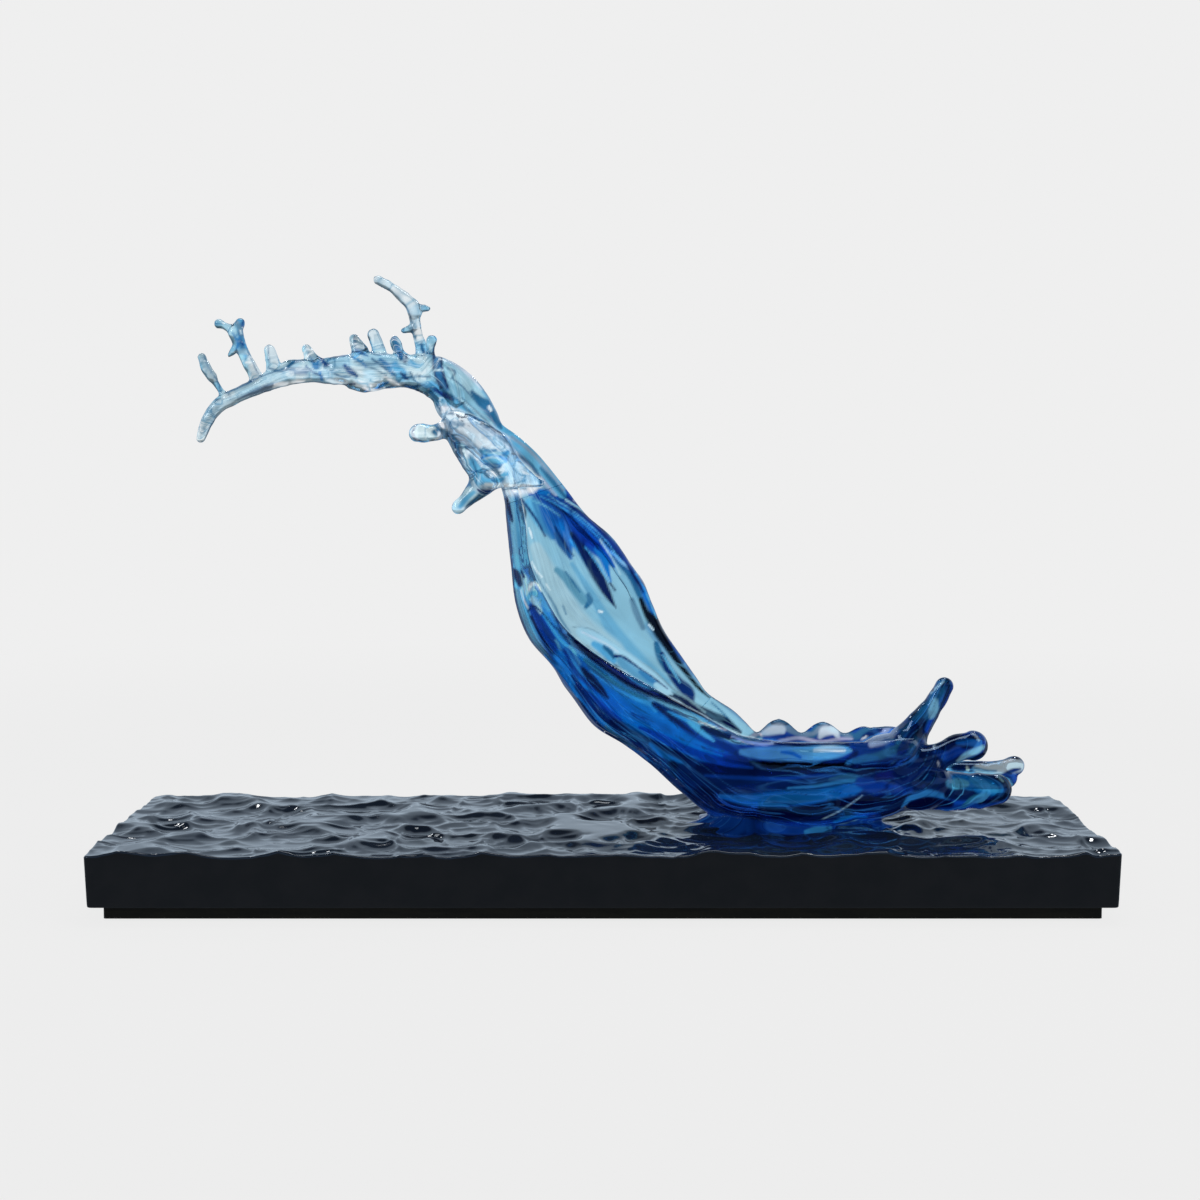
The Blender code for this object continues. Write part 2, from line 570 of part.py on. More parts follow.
def flow_at(height):
    """Row number, bottom point, flow direction and wall where the rising bottom line has a height."""
    rows = wall_rows()
    rising = int(np.argmin(rows[:, 1]))
    place = np.interp(height, rows[rising:, 1], np.arange(rising, len(rows)))
    low = np.array([np.interp(place, np.arange(len(rows)), rows[:, k]) for k in range(9)])
    after = np.array([np.interp(place + 1, np.arange(len(rows)), rows[:, k]) for k in range(9)])
    flow = np.array([after[0] - low[0], 0, after[1] - low[1]])
    flow += (after[2:5] + after[5:8] - low[2:5] - low[5:8]) / 2
    flow[1] = 0
    return round(place), np.array([low[0], 0, low[1]]), flow / np.linalg.norm(flow), low[8]


def build_wave():
    """The wave's shell as three castings, the shoulder, the arm and every finger."""
    trough_row, trough_at, trough_flow, trough_wall = flow_at(TROUGH_JOINT_Z)
    sheet_row, sheet_at, sheet_flow, sheet_wall = flow_at(SHEET_JOINT_Z)
    rings = in_place(shell_rings())
    trough = loft("wave_trough", rings[:trough_row + JOINT_ROWS], DEEP_RESIN)
    flume = loft("wave_flume", rings[trough_row - JOINT_ROWS:sheet_row + JOINT_ROWS], DEEP_RESIN)
    sheet = loft("crest_sheet", rings[sheet_row - JOINT_ROWS:], CLEAR_RESIN)

    saw(trough, in_place(trough_at), trough_flow)
    saw(flume, in_place(trough_at) + trough_flow * GAP, -trough_flow)
    saw(flume, in_place(sheet_at), sheet_flow)
    saw(sheet, in_place(sheet_at) + sheet_flow * GAP, -sheet_flow)
    saw(sheet, in_place((CREST_JOINT_X, 0, 0)), (-1, 0, 0))

    seat_floor = BASE_TOP - SEAT_DEPTH
    keel = prism("trough_keel", seat_outline(), seat_floor + GAP, seat_floor + KEEL_HEIGHT, None)
    combine(trough, as_cutter(keel), "UNION")
    for number, place in enumerate(bolt_places(), 1):
        bore = disc(f"insert_bore_{number}", INSERT_RADIUS + GAP, seat_floor - PAST,
                    seat_floor + 3 * GAP + INSERT_LENGTH, place, None)
        combine(trough, as_cutter(bore), "DIFFERENCE")

    joint_pin("trough_pin", trough_at, trough_flow, trough_wall, trough, flume)
    joint_pin("sheet_pin", sheet_at, sheet_flow, sheet_wall, flume, sheet)

    solid_shell = as_cutter(loft("shell_solid", in_place(shell_rings(grow=drawn(GAP), solid=True)), None))
    for name, stem in CROWN_FINGERS:
        finger = tube(name, stem, DEEP_RESIN)
        combine(finger, solid_shell, "DIFFERENCE")

    build_shoulder(solid_shell)
    build_crest()


def joint_pin(name, at, flow, wall, lower, upper):
    """A pin in the middle of the wall, half in each of two bonded castings."""
    inward = np.cross([0.0, 1.0, 0.0], flow)
    start = at + inward * wall / 2 - flow * drawn(PIN_LENGTH) / 2
    end = start + flow * drawn(PIN_LENGTH)
    rod(name, start, end, drawn(PIN_RADIUS), PALE_RESIN)
    bore = as_cutter(rod(f"{name}_bore", start - flow * drawn(GAP), end + flow * drawn(GAP),
                         drawn(PIN_RADIUS + GAP), None))
    combine(lower, bore, "DIFFERENCE")
    combine(upper, bore, "DIFFERENCE")


def rod(name, start, end, radius, finish, sides=12):
    """A straight round rod between two points in wave millimetres."""
    run = (end - start) / np.linalg.norm(end - start)
    side = np.array([0.0, 1.0, 0.0])
    up = np.cross(run, side)
    angle = np.linspace(0, 2 * np.pi, sides, endpoint=False)
    circle = radius * (np.cos(angle)[:, None] * side + np.sin(angle)[:, None] * up)
    return loft(name, in_place(np.stack([start + circle, end + circle])), finish)


def build_shoulder(solid_shell):
    """The folded pale sheet in front of the neck, fitted to the flume behind it."""
    fold = loft("shoulder_fold", in_place(oval_rings(SHOULDER)), PALE_RESIN)
    for number, stem in enumerate(SHOULDER_KNOBS, 1):
        combine(fold, as_cutter(tube(f"shoulder_knob_{number}", stem, None)), "UNION")
    combine(fold, solid_shell, "DIFFERENCE")


def build_crest():
    """Arm, tip and the fingers let into them."""
    arm_rows = [(*at, high, deep) for at, high, deep in ARM]
    arm = loft("crest_arm", in_place(oval_rings(arm_rows)), PALE_RESIN)
    saw(arm, in_place((CREST_JOINT_X - drawn(GAP), 0, 0)), (1, 0, 0))

    tip = tube("crest_tip", CREST_TIP, PALE_RESIN)
    tip_flow = np.array(CREST_TIP[1][:3], dtype=float) - np.array(CREST_TIP[0][:3])
    tip_flow /= np.linalg.norm(tip_flow)
    tip_at = np.array(CREST_TIP[0][:3], dtype=float)
    saw(arm, in_place(tip_at + tip_flow), tip_flow)
    saw(tip, in_place(tip_at + tip_flow * (1 + drawn(GAP))), -tip_flow)
    hosts = {"crest_arm": arm, "crest_tip": tip}
    for name, host, stem, branches in CREST_FINGERS:
        finger = tube(name, stem, PALE_RESIN)
        for number, branch in enumerate(branches, 1):
            limb = tube(f"{name}_limb_{number}", branch, None)
            combine(finger, as_cutter(limb), "UNION")
        socket = tube(f"{name}_socket", stem, None, grow=drawn(GAP), lengthen=drawn(GAP))
        combine(hosts[host], as_cutter(socket), "DIFFERENCE")


build_base()
build_wave()
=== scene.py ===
import math

import bmesh
import bpy
import numpy as np
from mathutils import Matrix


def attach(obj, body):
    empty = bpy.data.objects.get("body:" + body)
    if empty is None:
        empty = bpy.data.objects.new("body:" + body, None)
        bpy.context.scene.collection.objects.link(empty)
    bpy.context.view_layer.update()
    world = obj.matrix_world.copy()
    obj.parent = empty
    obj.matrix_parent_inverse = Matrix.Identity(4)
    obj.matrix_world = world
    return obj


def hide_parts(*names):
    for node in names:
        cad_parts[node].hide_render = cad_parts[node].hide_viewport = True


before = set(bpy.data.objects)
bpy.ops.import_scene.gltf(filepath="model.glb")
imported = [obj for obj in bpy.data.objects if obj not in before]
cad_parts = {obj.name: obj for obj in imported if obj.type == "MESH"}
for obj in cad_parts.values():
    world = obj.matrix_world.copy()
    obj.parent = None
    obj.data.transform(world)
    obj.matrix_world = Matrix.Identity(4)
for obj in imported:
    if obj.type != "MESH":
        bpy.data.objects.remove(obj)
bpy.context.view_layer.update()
print("frame loaded,", len(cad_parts), "nodes")
mm = 0.001


# camera, floor and light

view = {
    "place": (-0.0016, -1.302, 0.2846),
    "down": 4.6,              # degrees below level
    "halfFrame": 600 / 2112,  # half the picture's width over its distance
    "halfPixels": 600,
}

camera = bpy.data.objects.new("camera", bpy.data.cameras.new("camera"))
bpy.context.scene.collection.objects.link(camera)
camera.location = view["place"]
camera.rotation_euler = (math.radians(90 - view["down"]), 0, 0)
camera.data.angle = 2 * math.atan(view["halfFrame"])
camera.data.clip_start = 0.01
bpy.context.scene.camera = camera
print("camera set")

studio = {
    "paper": (0.863, 0.863, 0.863),
    "mirrored": (0.62, 0.75, 0.89),     # the paper's tone where something glossy mirrors it
    "mirroredFloor": (0.22, 0.27, 0.33),
    "back": 1.0,                  # light from behind the wave, times the paper
    "front": 0.1,
    "depthFade": (-0.1, 0.55),    # from front to back along Y
    "heightFade": (0.22, 0.42),   # and from the horizon's band to the dimmer ceiling, along Z
    "ceiling": 0.3, "mirroredCeiling": 0.68,
    "zenithFade": (0.56, 0.74), "zenith": 0.04,
    "floorFlat": 0.94,             # share of the floor that glows evenly, so that shadows stay faint
    "floorReach": (0.5, 1.6),
    "unmirrored": ("frontLamp", "rightLamp"),   # lamps that leave no highlights
    "lamps": [
        # name, place, aimed at, size in metres, watts
        ("topLamp", (0.1, 0.25, 1.5), (0.05, 0, 0), (1.0, 0.5), 8),
        ("leftLamp", (-1.3, -0.7, 0.9), (-0.05, 0, 0.15), (0.3, 0.7), 5),
        ("rightLamp", (1.25, -0.45, 0.75), (0.1, 0, 0.12), (0.2, 0.6), 4),
        ("frontLamp", (0.15, -1.5, 1.25), (0.05, 0, 0.12), (0.5, 0.12), 2.5),
        ("glintLeft", (-0.55, 0.75, 0.95), (-0.1, 0, 0.04), (0.1, 0.07), 0.6),
        ("glintRight", (0.5, 0.8, 1.0), (0.1, 0, 0.04), (0.1, 0.07), 0.6),
    ],
}


def link(tree, source, target):
    tree.links.new(source, target)


def faded(tree, value, fromRange, toRange):
    # a smooth step between two values
    step = tree.nodes.new("ShaderNodeMapRange")
    step.interpolation_type = "SMOOTHSTEP"
    for name, number in zip(("From Min", "From Max", "To Min", "To Max"), (*fromRange, *toRange)):
        step.inputs[name].default_value = number
    link(tree, value, step.inputs["Value"])
    return step.outputs["Result"]


def mirroredShare(tree):
    # 0 for what is seen straight or through the resin, 1 for what gloss mirrors
    path = tree.nodes.new("ShaderNodeLightPath")
    apart = tree.nodes.new("ShaderNodeMath")
    apart.operation = "SUBTRACT"
    apart.use_clamp = True
    link(tree, path.outputs["Is Glossy Ray"], apart.inputs[0])
    link(tree, path.outputs["Is Transmission Ray"], apart.inputs[1])
    return apart.outputs[0]


def glossyTone(tree, seen, mirrored):
    # one tone for what is seen straight or through the resin, another for what gloss mirrors
    tone = tree.nodes.new("ShaderNodeMix")
    tone.data_type = "RGBA"
    link(tree, mirroredShare(tree), tone.inputs[0])
    tone.inputs[6].default_value = (*seen, 1)
    tone.inputs[7].default_value = (*mirrored, 1)
    return tone.outputs[2]


def makeWorld():
    # an even pale studio: bright behind the wave, dim at the camera's side and overhead
    world = bpy.data.worlds.new("studio")
    bpy.context.scene.world = world
    world.use_nodes = True
    tree = world.node_tree
    shade = tree.nodes["Background"]
    spot = tree.nodes.new("ShaderNodeTexCoord")
    parts = tree.nodes.new("ShaderNodeSeparateXYZ")
    link(tree, spot.outputs["Generated"], parts.inputs[0])
    depth = faded(tree, parts.outputs["Y"], studio["depthFade"], (studio["front"], studio["back"]))
    height = faded(tree, parts.outputs["Z"], studio["heightFade"], (0, 1))
    blend = tree.nodes.new("ShaderNodeMix")
    link(tree, height, blend.inputs["Factor"])
    link(tree, depth, blend.inputs["A"])
    ceiling = tree.nodes.new("ShaderNodeMix")
    link(tree, mirroredShare(tree), ceiling.inputs["Factor"])
    ceiling.inputs["A"].default_value = studio["ceiling"]
    ceiling.inputs["B"].default_value = studio["mirroredCeiling"]
    upper = tree.nodes.new("ShaderNodeMix")
    link(tree, faded(tree, parts.outputs["Z"], studio["zenithFade"], (0, 1)), upper.inputs["Factor"])
    link(tree, ceiling.outputs["Result"], upper.inputs["A"])
    upper.inputs["B"].default_value = studio["zenith"]
    link(tree, upper.outputs["Result"], blend.inputs["B"])
    seen = tree.nodes.new("ShaderNodeLightPath")
    plain = tree.nodes.new("ShaderNodeMix")
    link(tree, seen.outputs["Is Camera Ray"], plain.inputs["Factor"])
    link(tree, blend.outputs["Result"], plain.inputs["A"])
    plain.inputs["B"].default_value = 1
    link(tree, glossyTone(tree, studio["paper"], studio["mirrored"]), shade.inputs["Color"])
    link(tree, plain.outputs["Result"], shade.inputs["Strength"])


def makeFloor():
    # pale paper that turns into the backdrop's own tone further out, so that no horizon shows
    mesh = bpy.data.meshes.new("paperFloor")
    reach = 12
    corners = [(-reach, -reach, 0), (reach, -reach, 0), (reach, reach, 0), (-reach, reach, 0)]
    mesh.from_pydata(corners, [], [(0, 1, 2, 3)])
    floor = bpy.data.objects.new("paperFloor", mesh)
    bpy.context.scene.collection.objects.link(floor)
    paper = bpy.data.materials.new("palePaper")
    paper.use_nodes = True
    tree = paper.node_tree
    tree.nodes.clear()
    out = tree.nodes.new("ShaderNodeOutputMaterial")
    mix = tree.nodes.new("ShaderNodeMixShader")
    matt = tree.nodes.new("ShaderNodeBsdfDiffuse")
    link(tree, glossyTone(tree, (0.9, 0.9, 0.9), studio["mirroredFloor"]), matt.inputs["Color"])
    glow = tree.nodes.new("ShaderNodeEmission")
    link(tree, glossyTone(tree, studio["paper"], studio["mirroredFloor"]), glow.inputs["Color"])
    spot = tree.nodes.new("ShaderNodeTexCoord")
    far = tree.nodes.new("ShaderNodeVectorMath")
    far.operation = "LENGTH"
    link(tree, spot.outputs["Object"], far.inputs[0])
    fade = faded(tree, far.outputs["Value"], studio["floorReach"], (studio["floorFlat"], 1))
    link(tree, fade, mix.inputs["Fac"])
    link(tree, matt.outputs[0], mix.inputs[1])
    link(tree, glow.outputs[0], mix.inputs[2])
    link(tree, mix.outputs[0], out.inputs["Surface"])
    mesh.materials.append(paper)


def makeLamps():
    for name, spot, aim, size, watts in studio["lamps"]:
        lamp = bpy.data.lights.new(name, "AREA")
        lamp.shape = "RECTANGLE"
        lamp.size, lamp.size_y = size
        lamp.energy = watts
        held = bpy.data.objects.new(name, lamp)
        held.visible_transmission = False
        held.visible_glossy = name not in studio["unmirrored"]
        bpy.context.scene.collection.objects.link(held)
        held.location = spot
        run = np.subtract(aim, spot)
        held.rotation_euler = (math.acos(-run[2] / np.linalg.norm(run)), 0, math.atan2(run[1], run[0]) - math.pi / 2)


makeWorld()
makeFloor()
makeLamps()
scene = bpy.context.scene
scene.view_settings.view_transform = "Standard"
scene.cycles.max_bounces = 32
scene.cycles.transmission_bounces = 28
scene.cycles.glossy_bounces = 10
scene.cycles.diffuse_bounces = 3
scene.cycles.sample_clamp_indirect = 4
scene.cycles.blur_glossy = 0.5
print("studio set")


# shared shapes

def catmullAt(rows, spot):
    # Catmull-Rom: a cubic through each pair of rows whose slopes are half the chord of their neighbours
    padded = np.vstack([2 * rows[0] - rows[1], rows, 2 * rows[-1] - rows[-2]])
    index = np.clip(spot.astype(int), 0, len(rows) - 2)
    t = (spot - index)[:, None]
    a, b, c, d = (padded[index + k] for k in range(4))
    return 0.5 * (2 * b + (c - a) * t + (2 * a - 5 * b + 4 * c - d) * t**2 + (3 * b - 3 * c + d - a) * t**3)


def evenRows(rows, count, columns=slice(0, 3)):
    # the same curve at points spaced evenly by the length of some of its columns
    rows = np.asarray(rows, float)
    spot = np.linspace(0, len(rows) - 1, 16 * (len(rows) - 1) + 1)
    steps = np.linalg.norm(np.diff(catmullAt(rows, spot)[:, columns], axis=0), axis=1)
    run = np.concatenate([[0], np.cumsum(steps)])
    return catmullAt(rows, np.interp(np.linspace(0, run[-1], count), run, spot))


def softNoise(p, seed):
    # random values from -1 to 1 on whole numbers, blended between them by 6t^5 - 15t^4 + 10t^3
    size = 24
    lattice = np.random.default_rng(seed).uniform(-1, 1, (size, size, size))
    cell = np.floor(p).astype(int)
    t = p - cell
    t = t**3 * (t * (t * 6 - 15) + 10)
    total = np.zeros(p.shape[:-1])
    for corner in np.ndindex(2, 2, 2):
        spot = (cell + corner) % size
        share = np.prod(np.where(np.array(corner) == 1, t, 1 - t), axis=-1)
        total += share * lattice[spot[..., 0], spot[..., 1], spot[..., 2]]
    return total


def creased(p, seed):
    # noise folded at zero, 1 - 2|n|, so that it has sharp crests
    return 1 - 2 * np.abs(softNoise(p, seed))


def smooth(low, high, x):
    t = np.clip((x - low) / (high - low), 0, 1)
    return t * t * (3 - 2 * t)


def unit(v):
    return v / np.maximum(np.linalg.norm(v, axis=-1, keepdims=True), 1e-12)


def loftRings(rings, ladder=False):
    # closed surface through rows of equal closed rings: quads between neighbours, and at each end a fan
    # round its middle, or on a C-shaped ring a ladder between its two walls
    rows, sides = rings.shape[:2]
    number = np.arange(rows * sides).reshape(rows, sides)
    after = np.roll(number, -1, axis=1)
    quads = np.stack([number[:-1], after[:-1], after[1:], number[1:]], axis=-1).reshape(-1, 4)
    points = rings.reshape(-1, 3)
    if ladder:
        k = np.arange(sides // 2 - 1)
        ends = [np.stack([n[k], n[sides - 1 - k], n[sides - 2 - k], n[k + 1]], axis=-1) for n in number[[0, -1]]]
        return points, np.vstack([quads, ends[0], ends[1][:, ::-1]]), np.zeros((0, 3), int)
    points = np.vstack([points, rings[0].mean(axis=0), rings[-1].mean(axis=0)])
    first = np.stack([after[0], number[0], np.full(sides, rows * sides)], axis=-1)
    last = np.stack([number[-1], after[-1], np.full(sides, rows * sides + 1)], axis=-1)
    return points, quads, np.vstack([first, last])


def joined(parts):
    # one set of arrays from several: each part's face numbers are shifted past the points before it
    points, quads, triangles, start = [], [], [], 0
    for p, q, t in parts:
        points.append(p)
        quads.append(q + start)
        triangles.append(t + start)
        start += len(p)
    return np.vstack(points), np.vstack(quads), np.vstack(triangles)


def makeMesh(name, points, quads, triangles):
    # whole arrays straight into a mesh
    mesh = bpy.data.meshes.new(name)
    corners = np.concatenate([quads.ravel(), triangles.ravel()]).astype(np.int32)
    starts = np.concatenate([np.arange(len(quads)) * 4, len(quads) * 4 + np.arange(len(triangles)) * 3])
    mesh.vertices.add(len(points))
    mesh.vertices.foreach_set("co", points.astype(np.float32).ravel())
    mesh.loops.add(len(corners))
    mesh.loops.foreach_set("vertex_index", corners)
    mesh.polygons.add(len(starts))
    mesh.polygons.foreach_set("loop_start", starts.astype(np.int32))
    mesh.update(calc_edges=True)
    mesh.shade_smooth()
    return mesh


def place(name, mesh):
    made = bpy.data.objects.new(name, mesh)
    bpy.context.scene.collection.objects.link(made)
    return made


def pointsOf(mesh):
    flat = np.empty(len(mesh.vertices) * 3, np.float32)
    mesh.vertices.foreach_get("co", flat)
    return flat.reshape(-1, 3).astype(float)


def normalsOf(mesh):
    flat = np.empty(len(mesh.vertices) * 3, np.float32)
    mesh.vertex_normals.foreach_get("vector", flat)
    return flat.reshape(-1, 3).astype(float)


def setPoints(mesh, points):
    mesh.vertices.foreach_set("co", points.astype(np.float32).ravel())
    mesh.update()


def neighbourMean(mesh, values):
    # each point's neighbours' mean, for values in columns
    edges = np.empty(len(mesh.edges) * 2, np.int32)
    mesh.edges.foreach_get("vertices", edges)
    a, b = edges.reshape(-1, 2).T
    ends = np.concatenate([a, b])
    others = np.concatenate([b, a])
    count = np.maximum(np.bincount(ends, minlength=len(values)), 1)[:, None]

    def mean(v):
        return np.stack([np.bincount(ends, v[others, k], len(v)) for k in range(v.shape[1])], axis=-1) / count

    return mean


def evenOut(mesh, rounds, share=None):
    # Taubin smoothing: each point goes part of the way to its neighbours' mean, then a little more back,
    # which takes out steps and keeps the volume; a share per point limits where it works
    points = pointsOf(mesh)
    mean = neighbourMean(mesh, points)
    share = np.ones(len(points)) if share is None else share
    for _ in range(rounds):
        for step in (0.5, -0.52):
            points = points + step * share[:, None] * (mean(points) - points)
    setPoints(mesh, points)


def fused(name, parts, voxel, rounds):
    # one skin round overlapping closed parts: a voxel remesh, then smoothing
    rough = place(name + "Rough", makeMesh(name + "Rough", *joined(parts)))
    step = rough.modifiers.new("oneSkin", "REMESH")
    step.mode = "VOXEL"
    step.voxel_size = voxel
    step.adaptivity = 0
    step.use_smooth_shade = True
    mesh = bpy.data.meshes.new_from_object(rough.evaluated_get(bpy.context.evaluated_depsgraph_get()))
    mesh.name = name
    bpy.data.objects.remove(rough, do_unlink=True)
    evenOut(mesh, rounds)
    mesh.shade_smooth()
    return mesh


def sawn(mesh, at, away):
    # keeps what lies behind a plane and closes the cut, whose faces carry 1 as their "joint" value
    work = bmesh.new()
    work.from_mesh(mesh)
    joint = work.faces.layers.float.get("joint") or work.faces.layers.float.new("joint")
    everything = work.verts[:] + work.edges[:] + work.faces[:]
    cut = bmesh.ops.bisect_plane(work, geom=everything, dist=1e-7, plane_co=at, plane_no=away, clear_outer=True)
    rim = [e for e in cut["geom_cut"] if isinstance(e, bmesh.types.BMEdge)]
    for edge in rim:
        edge.smooth = False
    for face in bmesh.ops.edgeloop_fill(work, edges=rim)["faces"]:
        face[joint] = 1
    bmesh.ops.triangulate(work, faces=[f for f in work.faces if len(f.verts) > 4])
    work.to_mesh(mesh)
    work.free()


# the wave

wave = {
    "origin": (0, 0, 0.041),
    "scale": 0.99 * mm,
    "rows": 420,
    "around": 60,             # points on each wall of a section
    "rimThinning": 0.45,
    "rimWave": (4.2, 29, 114, 92, 172),   # rise, length, a crest's x, first x, last x
    "bottomExtra": ((0, 6), (20, 6), (80, 4.5), (200, 1.5), (230, 0)),   # bottom line's height, extra wall
    "frontBead": ((0, 3.2), (60, 4.2), (150, 3.4), (215, 2.4), (290, 2)),
    "backBead": ((0, 3.0), (60, 4.0), (110, 6.0), (185, 5.5), (225, 3.0), (290, 2.2)),
    "outerRidges": (1.0, 70, 6.5, 11),    # height, length along, cells across each wall, seed
    "innerRidges": (1.5, 64, 5.2, 23),
    "voxel": 0.98 * mm,
    "rounds": 6,
    "sections": [
        # bottom x z, front rim x y z, back rim x y z, wall
        (206, 42, 199, -8, 54, 199, 8, 56, 6),
        (203, 24, 193, -24, 56, 194, 24, 56, 7),
        (191, 9, 183, -36, 57, 185, 36, 56, 7),
        (170, 1.5, 165, -42, 57, 168, 41, 54, 7),
        (138, 0, 140, -45, 57, 140, 43, 54, 7),
        (106, 0.6, 113, -44, 57, 112, 43, 56, 7),
        (72, 3, 93, -41, 59, 98, 41, 54, 7.5),
        (49, 19, 80, -40, 62, 84, 39, 66, 8),
        (28, 39, 59, -38, 74, 68, 37, 77, 8),
        (13, 50, 47, -36.5, 80, 60, 36, 88, 8),
        (-6, 62, 34, -35, 87, 51, 35, 101, 8),
        (-21, 83, 10, -32, 100, 39, 31, 119, 7.5),
        (-31, 98.6, -8, -30, 112, 31, 28, 137, 7),
        (-46, 116, -24, -27, 126, 26, 27, 150, 6.5),
        (-54, 137, -36, -23, 145, 19, 25, 160, 6),
        (-56.5, 162, -45, -20, 166, 7, 23, 177, 5.5),
        (-59, 186, -48, -16, 189, -9, 20, 191, 5),
        (-61.5, 205, -51, -13, 206, -23, 16, 209, 5),
        (-68, 221, -58, -11, 222, -39, 13, 229, 5),
        (-81, 235, -69, -10, 235, -52, 12, 241, 5),
        (-94, 246, -81, -9, 246, -62, 12, 248, 5),
        (-101, 255, -91, -8, 256, -66, 13, 257, 5),
        (-106, 264, -98, -8, 266, -72, 12, 268, 5),
        (-112, 269, -105, -8, 273, -82, 12, 280, 5),
        (-119, 272, -113, -8, 277, -95, 11, 289, 5),
        (-126, 273, -122, -8, 278, -108, 9, 292, 5),
    ],
    "seam": ((-52, 0, 203), (0.35, 0, -1)),   # where the deep flume meets the pale crest, and its way down
    "lowSeam": ((54, 0, 57), (0.76, 0, -0.65)),   # where the flume meets the trough
    "seamLap": 0.2,
}


def toMetres(points):
    return np.asarray(points, float) * wave["scale"] + np.array(wave["origin"])


def toDrawing(points):
    return (points - np.array(wave["origin"])) / wave["scale"]


def byHeight(table, heights):
    return np.interp(heights, *np.array(table, float).T)


def shellWalls():
    # each wall is a quarter oval from the bottom line to its rim: p = low + (rim - low)(1 - cos, sin, 1 - cos),
    # and the inside is the outside moved along the normal by the wall, with ridges that follow the flow
    rows = evenRows(wave["sections"], wave["rows"], slice(0, 2))
    rise, length, crestX, first, last = wave["rimWave"]
    swell = np.sin(np.pi * np.clip((rows[:, 5] - first) / (last - first), 0, 1)) ** 0.5
    rows[:, 7] += rise * swell * np.cos(2 * np.pi * (rows[:, 5] - crestX) / length)
    way = np.linspace(-1, 1, 2 * wave["around"] - 1)
    turn = np.abs(way) * np.pi / 2
    rim = np.where(way[None, :, None] < 0, rows[:, None, 2:5], rows[:, None, 5:8])
    low = np.stack([rows[:, 0], np.zeros(len(rows)), rows[:, 1]], axis=-1)[:, None]
    share = np.stack([1 - np.cos(turn), np.sin(turn), 1 - np.cos(turn)], axis=-1)[None]
    outside = low + (rim - low) * share
    normal = unit(np.cross(np.gradient(outside, axis=0), np.gradient(outside, axis=1)))
    mouth = (rows[:, 2:5] + rows[:, 5:8])[:, None] / 2 - low
    middle = wave["around"] - 1
    normal = normal * np.sign(np.sum(normal[:, middle:middle + 1] * mouth, axis=2))[..., None]
    wall = rows[:, 8, None] * (1 - wave["rimThinning"] * np.abs(way)[None] ** 5)
    wall = wall + byHeight(wave["bottomExtra"], rows[:, 1])[:, None] * (1 - way[None] ** 2) ** 2
    centre = (rows[:, 2:5] + rows[:, 5:8]) / 2
    run = np.concatenate([[0], np.cumsum(np.linalg.norm(np.diff(centre, axis=0), axis=1))])

    def ridges(height, along, across, seed):
        # long ridges: noise stretched along the flow, creased, with the lines wandering a little
        s = run[:, None] / along + 0 * way[None]
        w = way[None] * across + 0.9 * softNoise(np.stack([s * 1.6, 0 * s, 0 * s + 0.5], axis=-1), seed + 1)
        coarse = softNoise(np.stack([s, w, 0 * s], axis=-1), seed)
        crests = creased(np.stack([s * 1.2, w * 0.8, 0 * s + 9], axis=-1), seed)
        fine = softNoise(np.stack([s * 1.7, w * 2.3, 0 * s + 5], axis=-1), seed)
        return height * (0.6 * coarse + 0.5 * crests + 0.3 * fine)

    edge = np.clip((1 - np.abs(way)[None]) / 0.08, 0, 1)
    thick = np.minimum(rows[:, 8] / 6, 1)[:, None]
    calm = 1 - 0.65 * smooth(150, 175, rows[:, 1])[:, None] * (way[None] > 0)    # the pale pane stays calmer
    inside = outside + normal * (wall + ridges(*wave["innerRidges"]) * edge * thick * calm)[..., None]
    outside = outside - normal * (ridges(*wave["outerRidges"]) * thick * calm)[..., None]
    return rows, outside, inside, normal


def beadRings(edge, inner, normal, radius, sides=20):
    # a round bead along a rim, set in from the edge by its own radius
    down = unit(inner - edge)
    middle = edge + down * radius[:, None] + normal * radius[:, None] * 0.8
    run = unit(np.gradient(middle, axis=0))
    out = unit(normal - run * np.sum(normal * run, axis=1, keepdims=True))
    side = np.cross(run, out)
    angle = np.linspace(0, 2 * np.pi, sides, endpoint=False)
    return (middle[:, None] + radius[:, None, None]
            * (np.cos(angle)[None, :, None] * out[:, None] + np.sin(angle)[None, :, None] * side[:, None]))


def stemRings(stem, flare, lumps, seed, sides=20, step=0.9):
    # a finger: round rings along a smooth stem of (x, y, z, radius), flared at the root, closed by a half ball
    stem = np.array(stem, float)
    length = np.sum(np.linalg.norm(np.diff(stem[:, :3], axis=0), axis=1))
    path = evenRows(stem, int(length / step) + 4)
    run = np.concatenate([[0], np.cumsum(np.linalg.norm(np.diff(path[:, :3], axis=0), axis=1))])
    path[:, 3] *= 1 + flare * np.exp(-run / (1.6 * stem[0, 3]))
    path[:, 3] *= 1 + lumps * softNoise(path[:, :3] / 5 + seed, seed)
    ahead = unit(path[-1, :3] - path[-2, :3])
    turns = np.radians(np.arange(12, 90, 12))
    tip = path[-1, 3]
    dome = np.hstack([path[-1, :3] + np.outer(np.sin(turns) * tip, ahead), (np.cos(turns) * tip)[:, None]])
    path = np.vstack([path, dome])
    run = unit(np.gradient(path[:, :3], axis=0))
    across = unit(np.cross(run, [0.0, 1.0, 0.0]))
    side = np.cross(across, run)
    angle = np.linspace(0, 2 * np.pi, sides, endpoint=False)
    return (path[:, None, :3] + path[:, None, None, 3]
            * (np.cos(angle)[None, :, None] * across[:, None] + np.sin(angle)[None, :, None] * side[:, None]))


